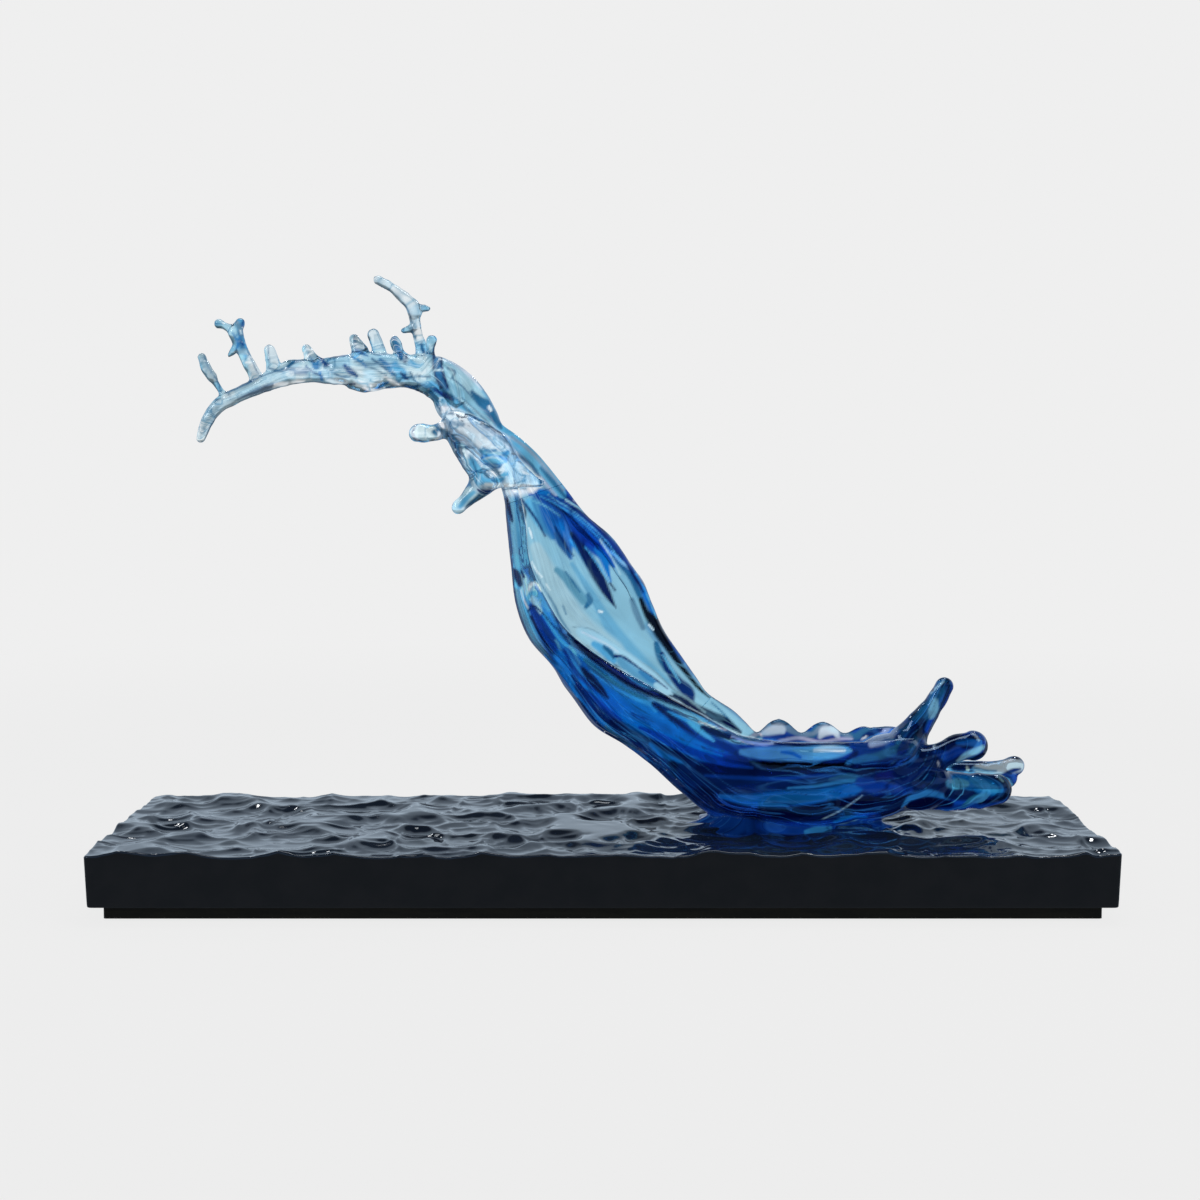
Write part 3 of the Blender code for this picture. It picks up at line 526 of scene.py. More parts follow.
def ovalRings(rows, sides=48, step=0.9):
    # oval rings square to a path of (x, y, z, half height, half depth)
    rows = np.array(rows, float)
    length = np.sum(np.linalg.norm(np.diff(rows[:, :3], axis=0), axis=1))
    path = evenRows(rows, int(length / step))
    run = unit(np.gradient(path[:, :3], axis=0))
    up = unit(np.cross([0.0, 1.0, 0.0], run))
    angle = np.linspace(0, 2 * np.pi, sides, endpoint=False)
    high = path[:, 3, None, None] * np.cos(angle)[None, :, None] * up[:, None]
    deep = path[:, 4, None, None] * np.sin(angle)[None, :, None] * np.array([0.0, 1.0, 0.0])
    return path[:, None, :3] + high + deep


crest = {
    "arm": [
        # x y z, half height, half depth
        (-88, 3, 262, 3.5, 3), (-94, 2, 271, 8, 5), (-101, 1, 277, 13, 7), (-111, 1, 281, 11.3, 8),
        (-121, 1, 282, 10, 8.5), (-136, 1, 282.5, 11.2, 9), (-149, 1, 282, 12, 9), (-161, 1, 283, 9.3, 8.5),
        (-176, 1, 282, 6.9, 7.6), (-192, 0, 281.5, 7.4, 7.2), (-205, 0, 277.2, 5.4, 6), (-218, 0, 271.5, 4.9, 5.2),
        (-232, 0, 265.4, 4.3, 4.6),
    ],
    "shoulder": [
        (-99, -9, 252, 6, 5), (-90, -13, 248.5, 10.5, 7.5), (-79, -16, 239, 15, 8), (-68, -18, 228, 17, 8),
        (-56, -17, 220, 10.5, 7), (-45, -15, 215.5, 5.2, 4.4), (-36, -13, 213, 2, 2),
    ],
    "soft": ((-70, -13, 231), (50, 28, 46)), "softRounds": 22,
    "stems": [
        # flare at the root, lumps, then rows of x y z radius
        (0, 0.03, [(-228, 0, 266.8, 4.4), (-231.5, 0, 265, 4.5), (-238, 0, 261.2, 4.6), (-245, 0, 252, 3.8),
                   (-249.5, 0, 241, 2.7)]),
        (0.6, 0.15, [(-233, 0, 264, 2.6), (-237, 0, 271, 1.8), (-241.5, 0, 278, 3), (-245.5, 0, 284, 3.3),
                     (-248, 0, 291, 2.8)]),
        (0.5, 0.08, [(-213.5, 0, 273, 3.2), (-216, 0, 281, 3.4), (-220, 0, 289, 3.6), (-224.5, 0, 299, 3.8),
                     (-227, 0, 306, 4.8)]),
        (0.2, 0.2, [(-227, 0, 307, 3.4), (-232, 0, 309.5, 2.2), (-237, 0, 311.5, 3)]),
        (0.2, 0.2, [(-227, 0, 307, 3), (-224, 0, 312, 2.8)]),
        (0.3, 0.2, [(-225, 0, 299, 2.6), (-231, 0, 292, 1.4)]),
        (0.5, 0.12, [(-203, 0, 278, 3.6), (-204.5, 0, 289, 3.5), (-206.5, 0, 295, 3.4)]),
        (0.9, 0.12, [(-176, 0, 285, 3), (-180, 0, 290, 2.9), (-183.5, 0, 296, 2.4)]),
        (0.7, 0.14, [(-149, -2, 289, 4.2), (-151, -2, 296, 3.8), (-153, -2, 302, 2.7)]),
        (0.6, 0.14, [(-137.5, 4, 288, 4), (-139.5, 4, 298, 3.4), (-142.3, 4, 305, 3)]),
        (0.6, 0.14, [(-122, -2, 286, 4.2), (-125.5, -2, 294, 3.4), (-129, -2, 301, 2.5)]),
        (0.6, 0.1, [(-111.5, 3, 287, 3.2), (-112.7, 3, 298, 2.7), (-114.6, 3, 304.5, 2.5), (-116.4, 3, 313, 3),
                    (-116.6, 3, 320, 3.9), (-119.4, 3, 324.4, 3.5), (-125.6, 3, 330, 2.5), (-132, 3, 334.8, 2.3),
                    (-139, 3, 338.2, 2.4)]),
        (0.3, 0.1, [(-118, 3, 322, 2.4), (-108, 3, 321, 1.4)]),
        (0.3, 0.1, [(-116, 3, 310, 2.4), (-123, 3, 307.5, 1.8)]),
        (0.5, 0.12, [(-106.5, -3, 286, 3), (-106.2, -3.4, 293, 2.7), (-105.5, -4, 301, 2.5)]),
        (0.3, 0.06, [(-92, -13, 248, 5), (-104, -15, 244, 4.6), (-113, -15, 244, 5.2)]),
        (0.2, 0.1, [(-70, -16, 219, 9), (-77, -17, 210, 6.4), (-84, -17, 203, 4.4), (-88.5, -17, 199, 4.5)]),
    ],
    "crumple": (0.8, 9.5, 0.45, 4.2),      # height and size of the coarse creases, then of the fine ones, in mm
}

crown = {
    "stems": [
        (0.1, 0.06, [(184, -14, 40, 17), (190, -9, 51, 12.5), (196, -5, 60, 9), (203, -3, 69, 6.9),
                     (209.5, -4, 79, 5.9), (213.5, -4, 86.5, 5.6)]),
        (0.2, 0.1, [(190, -18, 38, 11), (208, -19, 44.5, 8.2), (220, -17, 49.6, 8.5), (229.5, -16, 50.8, 9.4)]),
        (0.2, 0.08, [(192, 16, 30, 9), (214, 14, 30, 7), (238, 11, 30, 6.8), (251, 9, 31.5, 6.2), (260.5, 8, 34.5, 6)]),
        (0.1, 0.05, [(240, 10, 29, 6.4), (250, 9, 28.5, 7.4), (255.5, 9, 27, 7)]),
        (0.1, 0.08, [(186, -8, 24, 14), (208, -11, 22, 12.5), (228, -11, 21.5, 11.6), (246, -10, 22.5, 9.8)]),
    ],
    # solid masses that fill the right end: middle, then half sizes
    "masses": [((182, -6, 38), (26, 30, 19)), ((196, -14, 26), (22, 22, 16)), ((160, -26, 22), (30, 17, 15)),
               ((128, -24, 16), (40, 18, 14)), ((92, -16, 22), (30, 20, 16))],
    "pool": (112, 48, 30),    # middle's x, half length, half width
    "poolRings": ((1.3, -0.6), (1.2, 0.4), (1.08, 2.0), (0.97, 4.2), (0.85, 7), (0.6, 10), (0.3, 11), (0.05, 11)),
    "poolLobes": ((0.09, 3, 0.6), (0.06, 7, 2.0), (0.035, 13, 1.0)),
    "soft": ((163, -10, 28), (92, 50, 33)),     # where the fused skin is smoothed more: middle, half sizes
    "softRounds": 26,
}


def ballRings(middle, half, sides=40, rows=24):
    # an ellipsoid: (cos u cos v, sin u cos v, sin v) times the half sizes
    v = np.linspace(-0.97, 0.97, rows)[:, None] * np.pi / 2
    u = np.linspace(0, 2 * np.pi, sides, endpoint=False)[None]
    ball = np.stack([np.cos(u) * np.cos(v), np.sin(u) * np.cos(v), np.sin(v) + 0 * u], axis=-1)
    return np.array(middle, float) + ball * np.array(half, float)


def poolRings(sides=120):
    # a low lobed pool: ovals that shrink as they rise, their radius rippled by a few cosines
    middle, halfLength, halfWidth = crown["pool"]
    grow, height = evenRows(np.array(crown["poolRings"], float), 40, slice(0, 2)).T
    grow = np.concatenate([[0.1, 1.28], grow])
    height = np.concatenate([[-3.6, -3.6], height])
    angle = np.linspace(0, 2 * np.pi, sides, endpoint=False)
    lobes = 1 + sum(size * np.cos(times * angle + turn) for size, times, turn in crown["poolLobes"])
    x = middle + halfLength * grow[:, None] * (np.cos(angle) * lobes)[None]
    y = halfWidth * grow[:, None] * (np.sin(angle) * lobes)[None]
    return np.stack([x, y, height[:, None] + 0 * x], axis=-1)


def waveParts():
    rows, outside, inside, normal = shellWalls()
    parts = [loftRings(toMetres(np.concatenate([outside, inside[:, ::-1]], axis=1)), ladder=True)]
    low = rows[:, 1]
    for side, inner, table in ((0, 1, "frontBead"), (-1, -2, "backBead")):
        radius = byHeight(wave[table], low)
        parts.append(loftRings(toMetres(beadRings(outside[:, side], outside[:, inner], normal[:, side], radius))))
    for number, (flare, lumps, stem) in enumerate(crown["stems"]):
        parts.append(loftRings(toMetres(stemRings(stem, flare, lumps, number + 1, sides=36))))
    for middle, half in crown["masses"]:
        parts.append(loftRings(toMetres(ballRings(middle, half))))
    parts.append(loftRings(toMetres(poolRings())))
    parts.append(loftRings(toMetres(ovalRings(crest["arm"]))))
    parts.append(loftRings(toMetres(ovalRings(crest["shoulder"]))))
    for number, (flare, lumps, stem) in enumerate(crest["stems"]):
        parts.append(loftRings(toMetres(stemRings(stem, flare, lumps, number + 5))))
    return rows, parts


def settle(mesh, piece):
    # melts overlapping masses together: plain smoothing, strongest at their middle
    middle, half = (np.array(v, float) for v in piece["soft"])
    points = pointsOf(mesh)
    share = 1 - smooth(0.55, 1, np.linalg.norm((toDrawing(points) - middle) / half, axis=1))[:, None]
    mean = neighbourMean(mesh, points)
    for _ in range(piece["softRounds"]):
        points = points + 0.5 * share * (mean(points) - points)
    setPoints(mesh, points)


waveRows, waveShapes = waveParts()
skin = fused("resinWave", waveShapes, wave["voxel"], wave["rounds"])
settle(skin, crown)
settle(skin, crest)
print("wave fused,", len(skin.polygons), "faces")


# relief, dye and painted light on the fused wave

def inPicture(points):
    # where a point shows in the 1200 px picture, across and down, and how far off it is
    turn = math.radians(view["down"])
    off = points - np.array(view["place"])
    depth = off[:, 1] * math.cos(turn) - off[:, 2] * math.sin(turn)
    rise = off[:, 2] * math.cos(turn) + off[:, 1] * math.sin(turn)
    focal = view["halfPixels"] / view["halfFrame"]
    return view["halfPixels"] + focal * off[:, 0] / depth, view["halfPixels"] - focal * rise / depth, depth


def firstSeen(points, normals, cell=3, slack=10 * mm):
    # 1 on the skin that the picture shows first: it faces the eye and nothing nearer shares its small cell
    x, y, depth = inPicture(points)
    facing = np.sum(normals * (np.array(view["place"]) - points), axis=1) > 0
    number = (x // cell).astype(int) * 1000 + (y // cell).astype(int)
    nearest = np.full(number.max() + 1, 99.0)
    np.minimum.at(nearest, number[facing], depth[facing])
    return (facing & (depth < nearest[number] + slack)).astype(float)


def flowPlace(points):
    # along and round the wave: the length run to the nearest point of its middle line, and the angle about it
    rims = (waveRows[:, 2:5] + waveRows[:, 5:8]) / 2
    low = np.stack([waveRows[:, 0], 0 * waveRows[:, 0], waveRows[:, 1]], axis=-1)
    arm = evenRows(np.array(crest["arm"], float)[3:, :3], 60)
    middle = np.vstack([(rims + low)[::4] / 2, arm])
    run = np.concatenate([[0], np.cumsum(np.linalg.norm(np.diff(middle, axis=0), axis=1))])
    ahead = unit(np.gradient(middle, axis=0))
    up = unit(np.cross(ahead, [0.0, 1.0, 0.0]))
    p = toDrawing(points)
    near = np.concatenate([np.argmin(((block[:, None] - middle[None]) ** 2).sum(axis=2), axis=1)
                           for block in np.array_split(p, max(1, len(p) // 20000))])
    off = p - middle[near]
    along = run[near] + np.sum(off * ahead[near], axis=1)
    return along, np.arctan2(off[:, 1], np.sum(off * up[near], axis=1))


brush = {
    # lines laid on the skin that the picture shows first: a tone, then (across, down, half width) in its pixels;
    # the tones are the resin's dye together with painted highlights and painted shade; "behind" is the share of
    # light that the resin behind that skin passes, "haze" the share of a tone that the skin gives off as painted glow
    "pane": {"behind": (0.54, 0.7, 0.78), "haze": 0.15, "warm": 0.1, "lines": [
        ("pane", (522, 500, 12), (536, 530, 20), (552, 565, 30), (572, 600, 40), (605, 640, 44), (645, 675, 34),
         (690, 705, 24), (730, 728, 14), (756, 738, 6)),
        ("pane", (590, 552, 6), (606, 570, 14), (622, 592, 16), (638, 616, 12)),
        ("pane", (509, 492, 8), (512, 515, 9), (515, 540, 9), (519, 560, 8)),
        ("aqua", (530, 504, 6), (540, 517, 8), (546, 527, 6)),
        ("mere", (572, 564, 2), (588, 588, 3.5), (602, 612, 5), (618, 638, 8), (640, 664, 9), (664, 684, 7)),
        ("fog", (536, 548, 6), (550, 580, 11), (576, 622, 13), (612, 652, 12)),
        ("river", (540, 492, 3), (556, 506, 8), (573, 522, 12), (590, 538, 12), (606, 554, 7), (614, 566, 2)),
        ("royal", (556, 510, 2), (572, 528, 4), (588, 544, 4), (600, 556, 2)),
        ("azure", (530, 494, 2), (545, 494, 5), (556, 502, 4), (566, 512, 2)),
        ("sky", (540, 499, 1.5), (552, 502, 2.2), (562, 508, 1)),
        ("cobalt", (552, 494, 2), (566, 499, 4), (580, 511, 5), (596, 526, 5), (612, 538, 5), (624, 550, 5),
         (633, 565, 4), (641, 582, 3)),
        ("indigo", (566, 497, 1.4), (580, 506, 2.4), (592, 518, 2.2), (610, 532, 2.6), (624, 545, 2.4)),
        ("navy", (565, 505, 1), (580, 519, 2), (597, 536, 2.2), (612, 549, 2), (625, 562, 1)),
        ("royal", (560, 512, 1), (575, 524, 2), (592, 540, 2), (606, 551, 1)),
        ("brook", (534, 500, 3), (541, 512, 6), (548, 526, 7), (553, 536, 4)),
        ("river", (543, 506, 4), (552, 518, 9), (560, 530, 10), (566, 544, 6.5), (571, 559, 1)),
        ("lake", (556, 534, 2), (562, 545, 3), (570, 558, 1)),
        ("deep", (555, 527, 1), (562, 539, 1.8), (570, 552, 1.2), (574, 556, 0.6)),
        ("azure", (560, 524, 2), (567, 535, 2.4), (574, 546, 1.4)),
        ("sky", (570, 540, 1), (580, 553, 2.2), (590, 570, 1)),
        ("navy", (572, 534, 2.4), (587, 557, 5.6), (598, 576, 6), (607, 593, 4), (616, 608, 0.6)),
        ("azure", (597, 549, 3), (604, 560, 4), (608, 573, 2), (611, 582, 0.6)),
        ("pane", (600, 567, 0.8), (608, 580, 1.2), (614, 590, 0.6)),
        ("navy", (610, 583, 1), (615, 590, 1.2)),
        ("teal", (612, 556, 1.4), (620, 564, 2.4), (629, 575, 2.6), (637, 590, 2.8), (643, 604, 2.6)),
        ("ice", (611, 551, 0.8), (622, 562, 1.5), (634, 572, 0.8)),
        ("reed", (557, 570, 3), (566, 578, 4.4), (574, 588, 5), (584, 600, 5)),
        ("teal", (566, 572, 0.8), (573, 582, 1.2), (580, 592, 0.8)),
        ("teal", (588, 595, 2), (590, 601, 3), (586, 607, 2)),
        ("slate", (563, 606, 1), (566, 614, 1)),
        ("slate", (632, 600, 2.5), (636, 612, 3.2), (643, 628, 2.4)),
        ("mere", (516, 496, 2), (517, 520, 2), (520, 548, 2)),
        ("navy", (505, 492, 1.8), (508, 506, 2.6), (512, 521, 1.4)),
        ("ink", (521, 502, 0.8), (524, 512, 2.4), (524, 523, 0.7)),
        ("deep", (519, 496, 1.2), (528, 508, 1.5), (537, 521, 1.4), (545, 536, 1)),
        ("teal", (504, 495, 0.9), (507, 520, 0.8), (511, 550, 0.8), (513, 580, 1)),
        ("clear", (529, 528, 0.6), (531, 534, 1), (532, 538, 0.6)),
        ("clear", (532, 562, 0.6), (536, 570, 0.8), (542, 577, 0.6)), ("clear", (546, 584, 0.5), (550, 590, 0.5)),
        ("clear", (599, 611, 0.9), (602, 612, 0.9)),
        ("slate", (519, 497, 0.9), (525, 520, 0.9), (527, 545, 0.9), (529, 560, 0.9), (535, 573, 0.9),
         (543, 587, 1), (553, 603, 1.4), (561, 619, 1.4), (570, 633, 1.2)),
        ("teal", (656, 644, 2.5), (660, 656, 4), (667, 668, 4.4)),
        ("deep", (662, 654, 2), (668, 668, 3.6), (678, 682, 5), (688, 692, 6), (692, 702, 2.5)),
        ("aqua", (663, 655, 0.8), (671, 668, 1.3), (680, 682, 0.8)),
        ("teal", (712, 703, 0.8), (724, 714, 1), (735, 728, 1.2)),
        ("azure", (645, 590, 4), (650, 602, 4), (655, 613, 3)),
        ("black", (641, 600, 2.5), (646, 612, 3.4), (654, 622, 6), (660, 633, 6), (667, 645, 4.4), (676, 659, 3.4),
         (687, 674, 2.6), (699, 688, 2), (709, 697, 1)),
        ("clear", (649, 625, 0.9), (653, 630, 0.7)),
        ("deep", (643, 582, 1.5), (651, 598, 2), (659, 614, 2)),
        ("slate", (712, 697, 0.8), (730, 710, 0.9), (745, 721, 0.9), (756, 731, 0.8)),
    ]},
    "fan": {"behind": (0.36, 0.6, 0.8), "haze": 0.5, "warm": 0.1, "lines": [
        ("cobalt", (594, 516, 4), (612, 534, 6), (628, 556, 6), (639, 578, 5)),
        ("royal", (536, 496, 2.5), (556, 503, 5), (575, 512, 6), (594, 527, 5)),
        ("navy", (556, 494, 0.7), (578, 508, 1.2), (600, 526, 1.4), (619, 545, 1.2), (632, 564, 0.9)),
        ("navy", (545, 499, 0.8), (565, 513, 1.2), (584, 531, 1.2), (598, 549, 0.8)),
        ("deep", (560, 500, 0.7), (584, 516, 1), (606, 536, 1), (622, 556, 0.8)),
        ("sky", (540, 496, 0.6), (560, 506, 1), (580, 520, 1), (600, 539, 0.9), (613, 555, 0.6)),
        ("aqua", (552, 492, 0.6), (572, 503, 0.8), (596, 520, 0.9), (616, 541, 0.8), (630, 560, 0.7), (640, 580, 0.6)),
        ("aqua", (548, 495, 0.5), (570, 509, 0.6), (590, 525, 0.7), (608, 543, 0.6), (621, 561, 0.5)),
        ("sky", (585, 547, 0.6), (597, 563, 0.8), (609, 582, 0.6)), ("aqua", (528, 499, 0.6), (545, 506, 0.8), (560, 516, 0.7)),
        ("haze", (574, 500, 0.5), (596, 514, 0.7), (616, 532, 0.7), (628, 548, 0.6), (634, 566, 0.5)),
        ("royal", (620, 538, 1), (630, 552, 1.4), (636, 568, 1.2)), ("navy", (628, 566, 0.8), (637, 580, 1.2), (643, 592, 1)),
        ("sky", (636, 574, 0.6), (643, 586, 0.9), (649, 600, 0.9)), ("aqua", (646, 594, 0.5), (652, 608, 0.7), (657, 618, 0.5)),
    ]},
    "rim": {"behind": (0.2, 0.45, 0.75), "haze": 0.45, "warm": 0, "lines": [
        ("aqua", (515, 558, 4), (516, 574, 7), (521, 592, 12), (533, 615, 15), (548, 640, 14), (562, 660, 8)),
        ("slate", (515, 592, 4), (518, 612, 6), (527, 634, 6.5), (543, 652, 5.5), (558, 668, 3)),
        ("azure", (532, 596, 5), (541, 612, 7), (550, 630, 7), (560, 646, 5)),
        ("royal", (531, 606, 2.5), (538, 620, 6), (547, 637, 7.5), (557, 655, 7), (567, 672, 4)),
        ("sky", (537, 602, 2), (546, 613, 3.4), (556, 628, 4), (566, 645, 3)),
        ("ice", (523, 578, 4), (529, 590, 5.5), (536, 601, 4), (541, 612, 2)),
        ("aqua", (527, 600, 2), (533, 593, 2.4), (540, 598, 2.6), (548, 610, 2)),
        ("navy", (514, 570, 2), (517, 576, 4), (520, 584, 3)),
        ("deep", (521, 571, 1), (524, 577, 1.4)),
        ("clear", (529, 590, 1), (532, 584, 1.7), (537, 585, 1.7), (541, 591, 1)),
        ("clear", (521, 590, 0.8), (524, 600, 1), (528, 608, 0.7)),
        ("deep", (528, 611, 1), (534, 606, 1.4), (543, 613, 1), (552, 624, 1), (566, 637, 0.9)),
        ("navy", (531, 617, 1.6), (539, 633, 1.6), (548, 648, 1.8), (557, 660, 2), (563, 668, 1.6)),
        ("navy", (556, 652, 1), (563, 660, 2.6), (567, 668, 1.4)),
        ("deep", (511, 560, 0.8), (513, 585, 1), (518, 612, 1), (527, 634, 1)),
        ("sky", (545, 655, 1), (556, 668, 1.4), (568, 682, 1)),
        ("aqua", (556, 640, 1), (564, 655, 1.4), (574, 668, 0.9)),
    ]},
    "body": {"behind": (0.35, 0.62, 0.9), "haze": 0.36, "lines": [
        ("azure", (566, 662, 14), (584, 680, 22), (622, 712, 26), (662, 740, 28), (700, 762, 30)),
        ("royal", (566, 650, 3), (576, 668, 5), (592, 682, 6), (608, 694, 4)),
        ("sky", (566, 648, 1), (574, 661, 1.6), (583, 674, 1.4), (597, 686, 0.8)),
        ("azure", (598, 684, 5), (615, 697, 9), (634, 710, 11), (650, 721, 10), (664, 731, 5)),
        ("navy", (583, 669, 2), (590, 678, 4.2), (600, 689, 3.6), (608, 698, 1.2)),
        ("teal", (585, 660, 2), (605, 678, 4), (625, 692, 4), (645, 700, 3)),
        ("sky", (590, 671, 0.9), (612, 686, 1.2), (634, 698, 1.6), (650, 704, 2.4), (656, 711, 1.4)),
        ("cobalt", (655, 705, 3), (672, 716, 5), (692, 730, 6), (712, 742, 5), (735, 750, 4)),
        ("sky", (668, 712, 1), (684, 719, 1.6), (700, 729, 1.2)),
        ("aqua", (688, 721, 1.5), (696, 727, 3), (706, 735, 2.4), (714, 741, 1)),
        ("navy", (702, 727, 2), (711, 731, 4), (723, 735, 4), (736, 738, 2)),
        ("clear", (699, 722, 0.7), (712, 726, 0.8), (726, 730, 0.7)),
        ("navy", (652, 703, 1), (664, 712, 2.4), (680, 724, 2.4), (694, 734, 1)),
        ("indigo", (577, 686, 3), (592, 702, 6), (608, 717, 6), (624, 729, 4)),
        ("royal", (590, 695, 2), (604, 708, 3), (620, 720, 2)),
        ("deep", (572, 676, 1.5), (590, 700, 3), (612, 724, 4), (634, 742, 5), (656, 758, 6), (680, 780, 7)),
        ("navy", (612, 722, 3), (636, 737, 5), (662, 749, 6), (690, 764, 7), (712, 776, 6)),
        ("teal", (606, 727, 2), (618, 738, 2.6), (634, 748, 1.6)),
        ("royal", (640, 728, 2), (662, 738, 5), (688, 748, 6), (716, 757, 6), (742, 762, 4)),
        ("azure", (660, 731, 1), (682, 741, 2), (704, 750, 1.6), (722, 756, 1)),
        ("azure", (650, 744, 1.5), (662, 754, 2.6), (680, 762, 1.6), (702, 774, 1)),
        ("ink", (672, 765, 4), (688, 783, 9), (702, 797, 9), (722, 808, 5)),
        ("deep", (652, 762, 3), (668, 778, 4), (684, 794, 3)),
        ("deep", (526, 640, 1.2), (542, 658, 1.3), (558, 677, 1.4), (580, 702, 1.5), (604, 730, 1.6), (630, 751, 1.5)),
        ("sky", (547, 662, 0.8), (561, 680, 1.2), (577, 697, 0.8)),
        ("aqua", (570, 640, 1), (574, 652, 1.6), (580, 664, 1)),
        ("cobalt", (556, 618, 1), (562, 632, 1.4), (570, 644, 1)),
        ("ink", (568, 634, 1.6), (580, 645, 3.4), (595, 658, 5), (612, 669, 6), (630, 679, 8), (646, 687, 8),
         (662, 695, 6.4), (680, 702, 6.4), (696, 709, 5), (711, 715, 4.4), (726, 722, 4.4), (740, 732, 2)),
        ("indigo", (600, 659, 0.9), (622, 675, 1.6), (642, 687, 1.2), (658, 694, 0.9)),
        ("slate", (573, 627, 0.7), (590, 629, 0.8), (605, 638, 0.9), (620, 648, 1), (640, 662, 1), (655, 672, 1),
         (672, 688, 1.1), (690, 700, 1.2), (705, 712, 1.3)),
    ]},
    "lens": {"behind": (0.66, 0.8, 0.84), "haze": 0.1, "warm": 0, "lines": [
        ("ice", (581, 632, 5), (596, 640, 7), (612, 651, 8), (632, 665, 8), (652, 680, 7), (667, 691, 4)),
        ("ice", (578, 631, 1), (580, 637, 1.3), (586, 644, 0.8)),
        ("mist", (582, 632, 0.8), (594, 638, 1), (606, 644, 0.9), (618, 652, 0.7)),
        ("aqua", (594, 644, 3), (606, 652, 5), (613, 660, 4)),
        ("teal", (604, 647, 2), (610, 652, 2.6), (613, 658, 1)),
        ("deep", (615, 656, 2), (624, 658, 2), (640, 669, 1.3), (656, 680, 1.2), (667, 689, 0.9)),
        ("mere", (620, 661, 3.6), (632, 672, 6), (645, 681, 5.4), (658, 687, 3)),
        ("brook", (640, 672, 2), (648, 678, 3), (655, 683, 2)),
        ("ice", (656, 685, 2.4), (665, 691, 2.6), (672, 694, 1)),
    ]},
    "trough": {"behind": (0.25, 0.78, 1.0), "haze": 0.4, "lines": [
        ("deep", (690, 775, 14), (730, 785, 26), (780, 788, 30), (830, 788, 30), (880, 785, 30), (925, 782, 26)),
        ("navy", (700, 795, 9), (740, 806, 10), (790, 812, 10), (840, 812, 11), (890, 806, 11), (930, 803, 7)),
        ("navy", (700, 768, 5), (740, 772, 7), (785, 771, 8), (830, 771, 7), (870, 769, 5)),
        ("teal", (744, 741, 3), (756, 736, 4), (768, 727, 5), (780, 723, 5), (794, 729, 5), (810, 735, 4),
         (822, 725, 5), (832, 724, 5), (842, 731, 5), (854, 737, 4), (866, 731, 4), (884, 728, 4), (898, 728, 3)),
        ("slate", (750, 738, 2), (766, 728, 3), (780, 725, 3), (796, 732, 3), (812, 734, 2), (824, 726, 3),
         (838, 730, 3), (850, 737, 2)),
        ("ice", (762, 734, 2), (770, 731, 4.4), (780, 729, 5), (783, 732, 2)),
        ("ice", (820, 737, 2), (825, 731, 5), (834, 731, 4), (838, 737, 2)),
        ("haze", (732, 736, 1), (745, 741, 1.5), (765, 744, 1.6), (785, 740, 1.6), (800, 738, 1.8), (820, 742, 1.6),
         (840, 739, 1.6), (852, 739, 1)),
        ("aqua", (742, 752, 3), (760, 753, 6), (785, 754, 7.4), (812, 753, 8), (835, 751, 7), (851, 750, 2)),
        ("ice", (815, 750, 2), (828, 748, 3.4), (843, 750, 2.6)),
        ("azure", (782, 752, 1.6), (792, 753, 2.2), (800, 757, 1.6)),
        ("navy", (775, 743, 1.2), (798, 744.5, 2.2), (822, 744, 1.4), (846, 744, 2), (856, 752, 3), (846, 761, 1.4)),
        ("black", (750, 762, 1.4), (775, 765, 3.4), (800, 766, 4), (830, 766, 3), (852, 763, 1.6)),
        ("royal", (700, 757, 2), (726, 764, 2.4), (752, 768, 1.4)),
        ("royal", (705, 776, 1.2), (742, 778, 2), (780, 779, 1.8), (820, 776, 1.6), (852, 780, 2)),
        ("azure", (720, 796, 2), (745, 800, 5), (768, 800, 8), (795, 799, 9), (820, 797, 8), (846, 791, 7),
         (862, 786, 4)),
        ("sky", (788, 788, 1), (815, 786, 1.6), (838, 782, 2), (856, 779, 2.4)),
        ("teal", (830, 779, 1), (848, 776, 2.4), (862, 778, 1.6)),
        ("ink", (722, 810, 3), (760, 813, 6), (800, 812, 6), (836, 806, 7), (868, 801, 6)),
        ("ice", (823, 819, 0.5), (840, 811, 0.6), (855, 801, 0.6), (862, 796, 0.5)),
        ("royal", (860, 782, 5), (876, 787, 8), (892, 790, 6), (910, 790, 3)),
        ("indigo", (878, 778, 4), (893, 773, 6), (910, 777, 5), (921, 784, 3)),
        ("teal", (848, 763, 2), (870, 757, 4.4), (890, 752, 5), (908, 748, 4), (916, 755, 3)),
        ("aqua", (889, 767, 1.4), (900, 760, 2.2), (911, 753, 1.6)),
        ("ink", (860, 768, 2), (884, 768, 3), (902, 764, 2)),
        ("black", (904, 768, 5), (917, 772, 7), (926, 768, 4)),
        ("cobalt", (855, 745, 5), (870, 748, 6), (886, 746, 3)),
        ("haze", (872, 744, 3.4), (884, 736, 7.6), (894, 730, 4)),
        ("deep", (864, 737, 2.4), (873, 733, 4), (881, 730, 2)),
        ("clear", (862, 739, 0.8), (866, 737, 1)),
        ("royal", (760, 826, 4), (790, 830, 6), (830, 827, 7), (860, 820, 6), (878, 816, 3)),
        ("sky", (806, 832, 2), (818, 830, 4), (830, 828, 2)),
        ("azure", (835, 822, 2), (850, 817, 2), (866, 817, 1.4)),
        ("ink", (770, 835, 2), (800, 837, 2), (835, 834, 3), (870, 827, 3)),
        ("sky", (902, 807, 1), (911, 798, 3), (927, 793, 3.6), (942, 796, 3), (948, 800, 1)),
        ("ink", (912, 805, 4), (930, 803, 6), (950, 804, 4)),
    ]},
    "crown": {"behind": (0.52, 0.92, 1.5), "haze": 0.2, "warm": 0, "lines": [
        ("deep", (905, 768, 14), (925, 765, 20), (950, 772, 22), (975, 782, 20), (1000, 785, 14)),
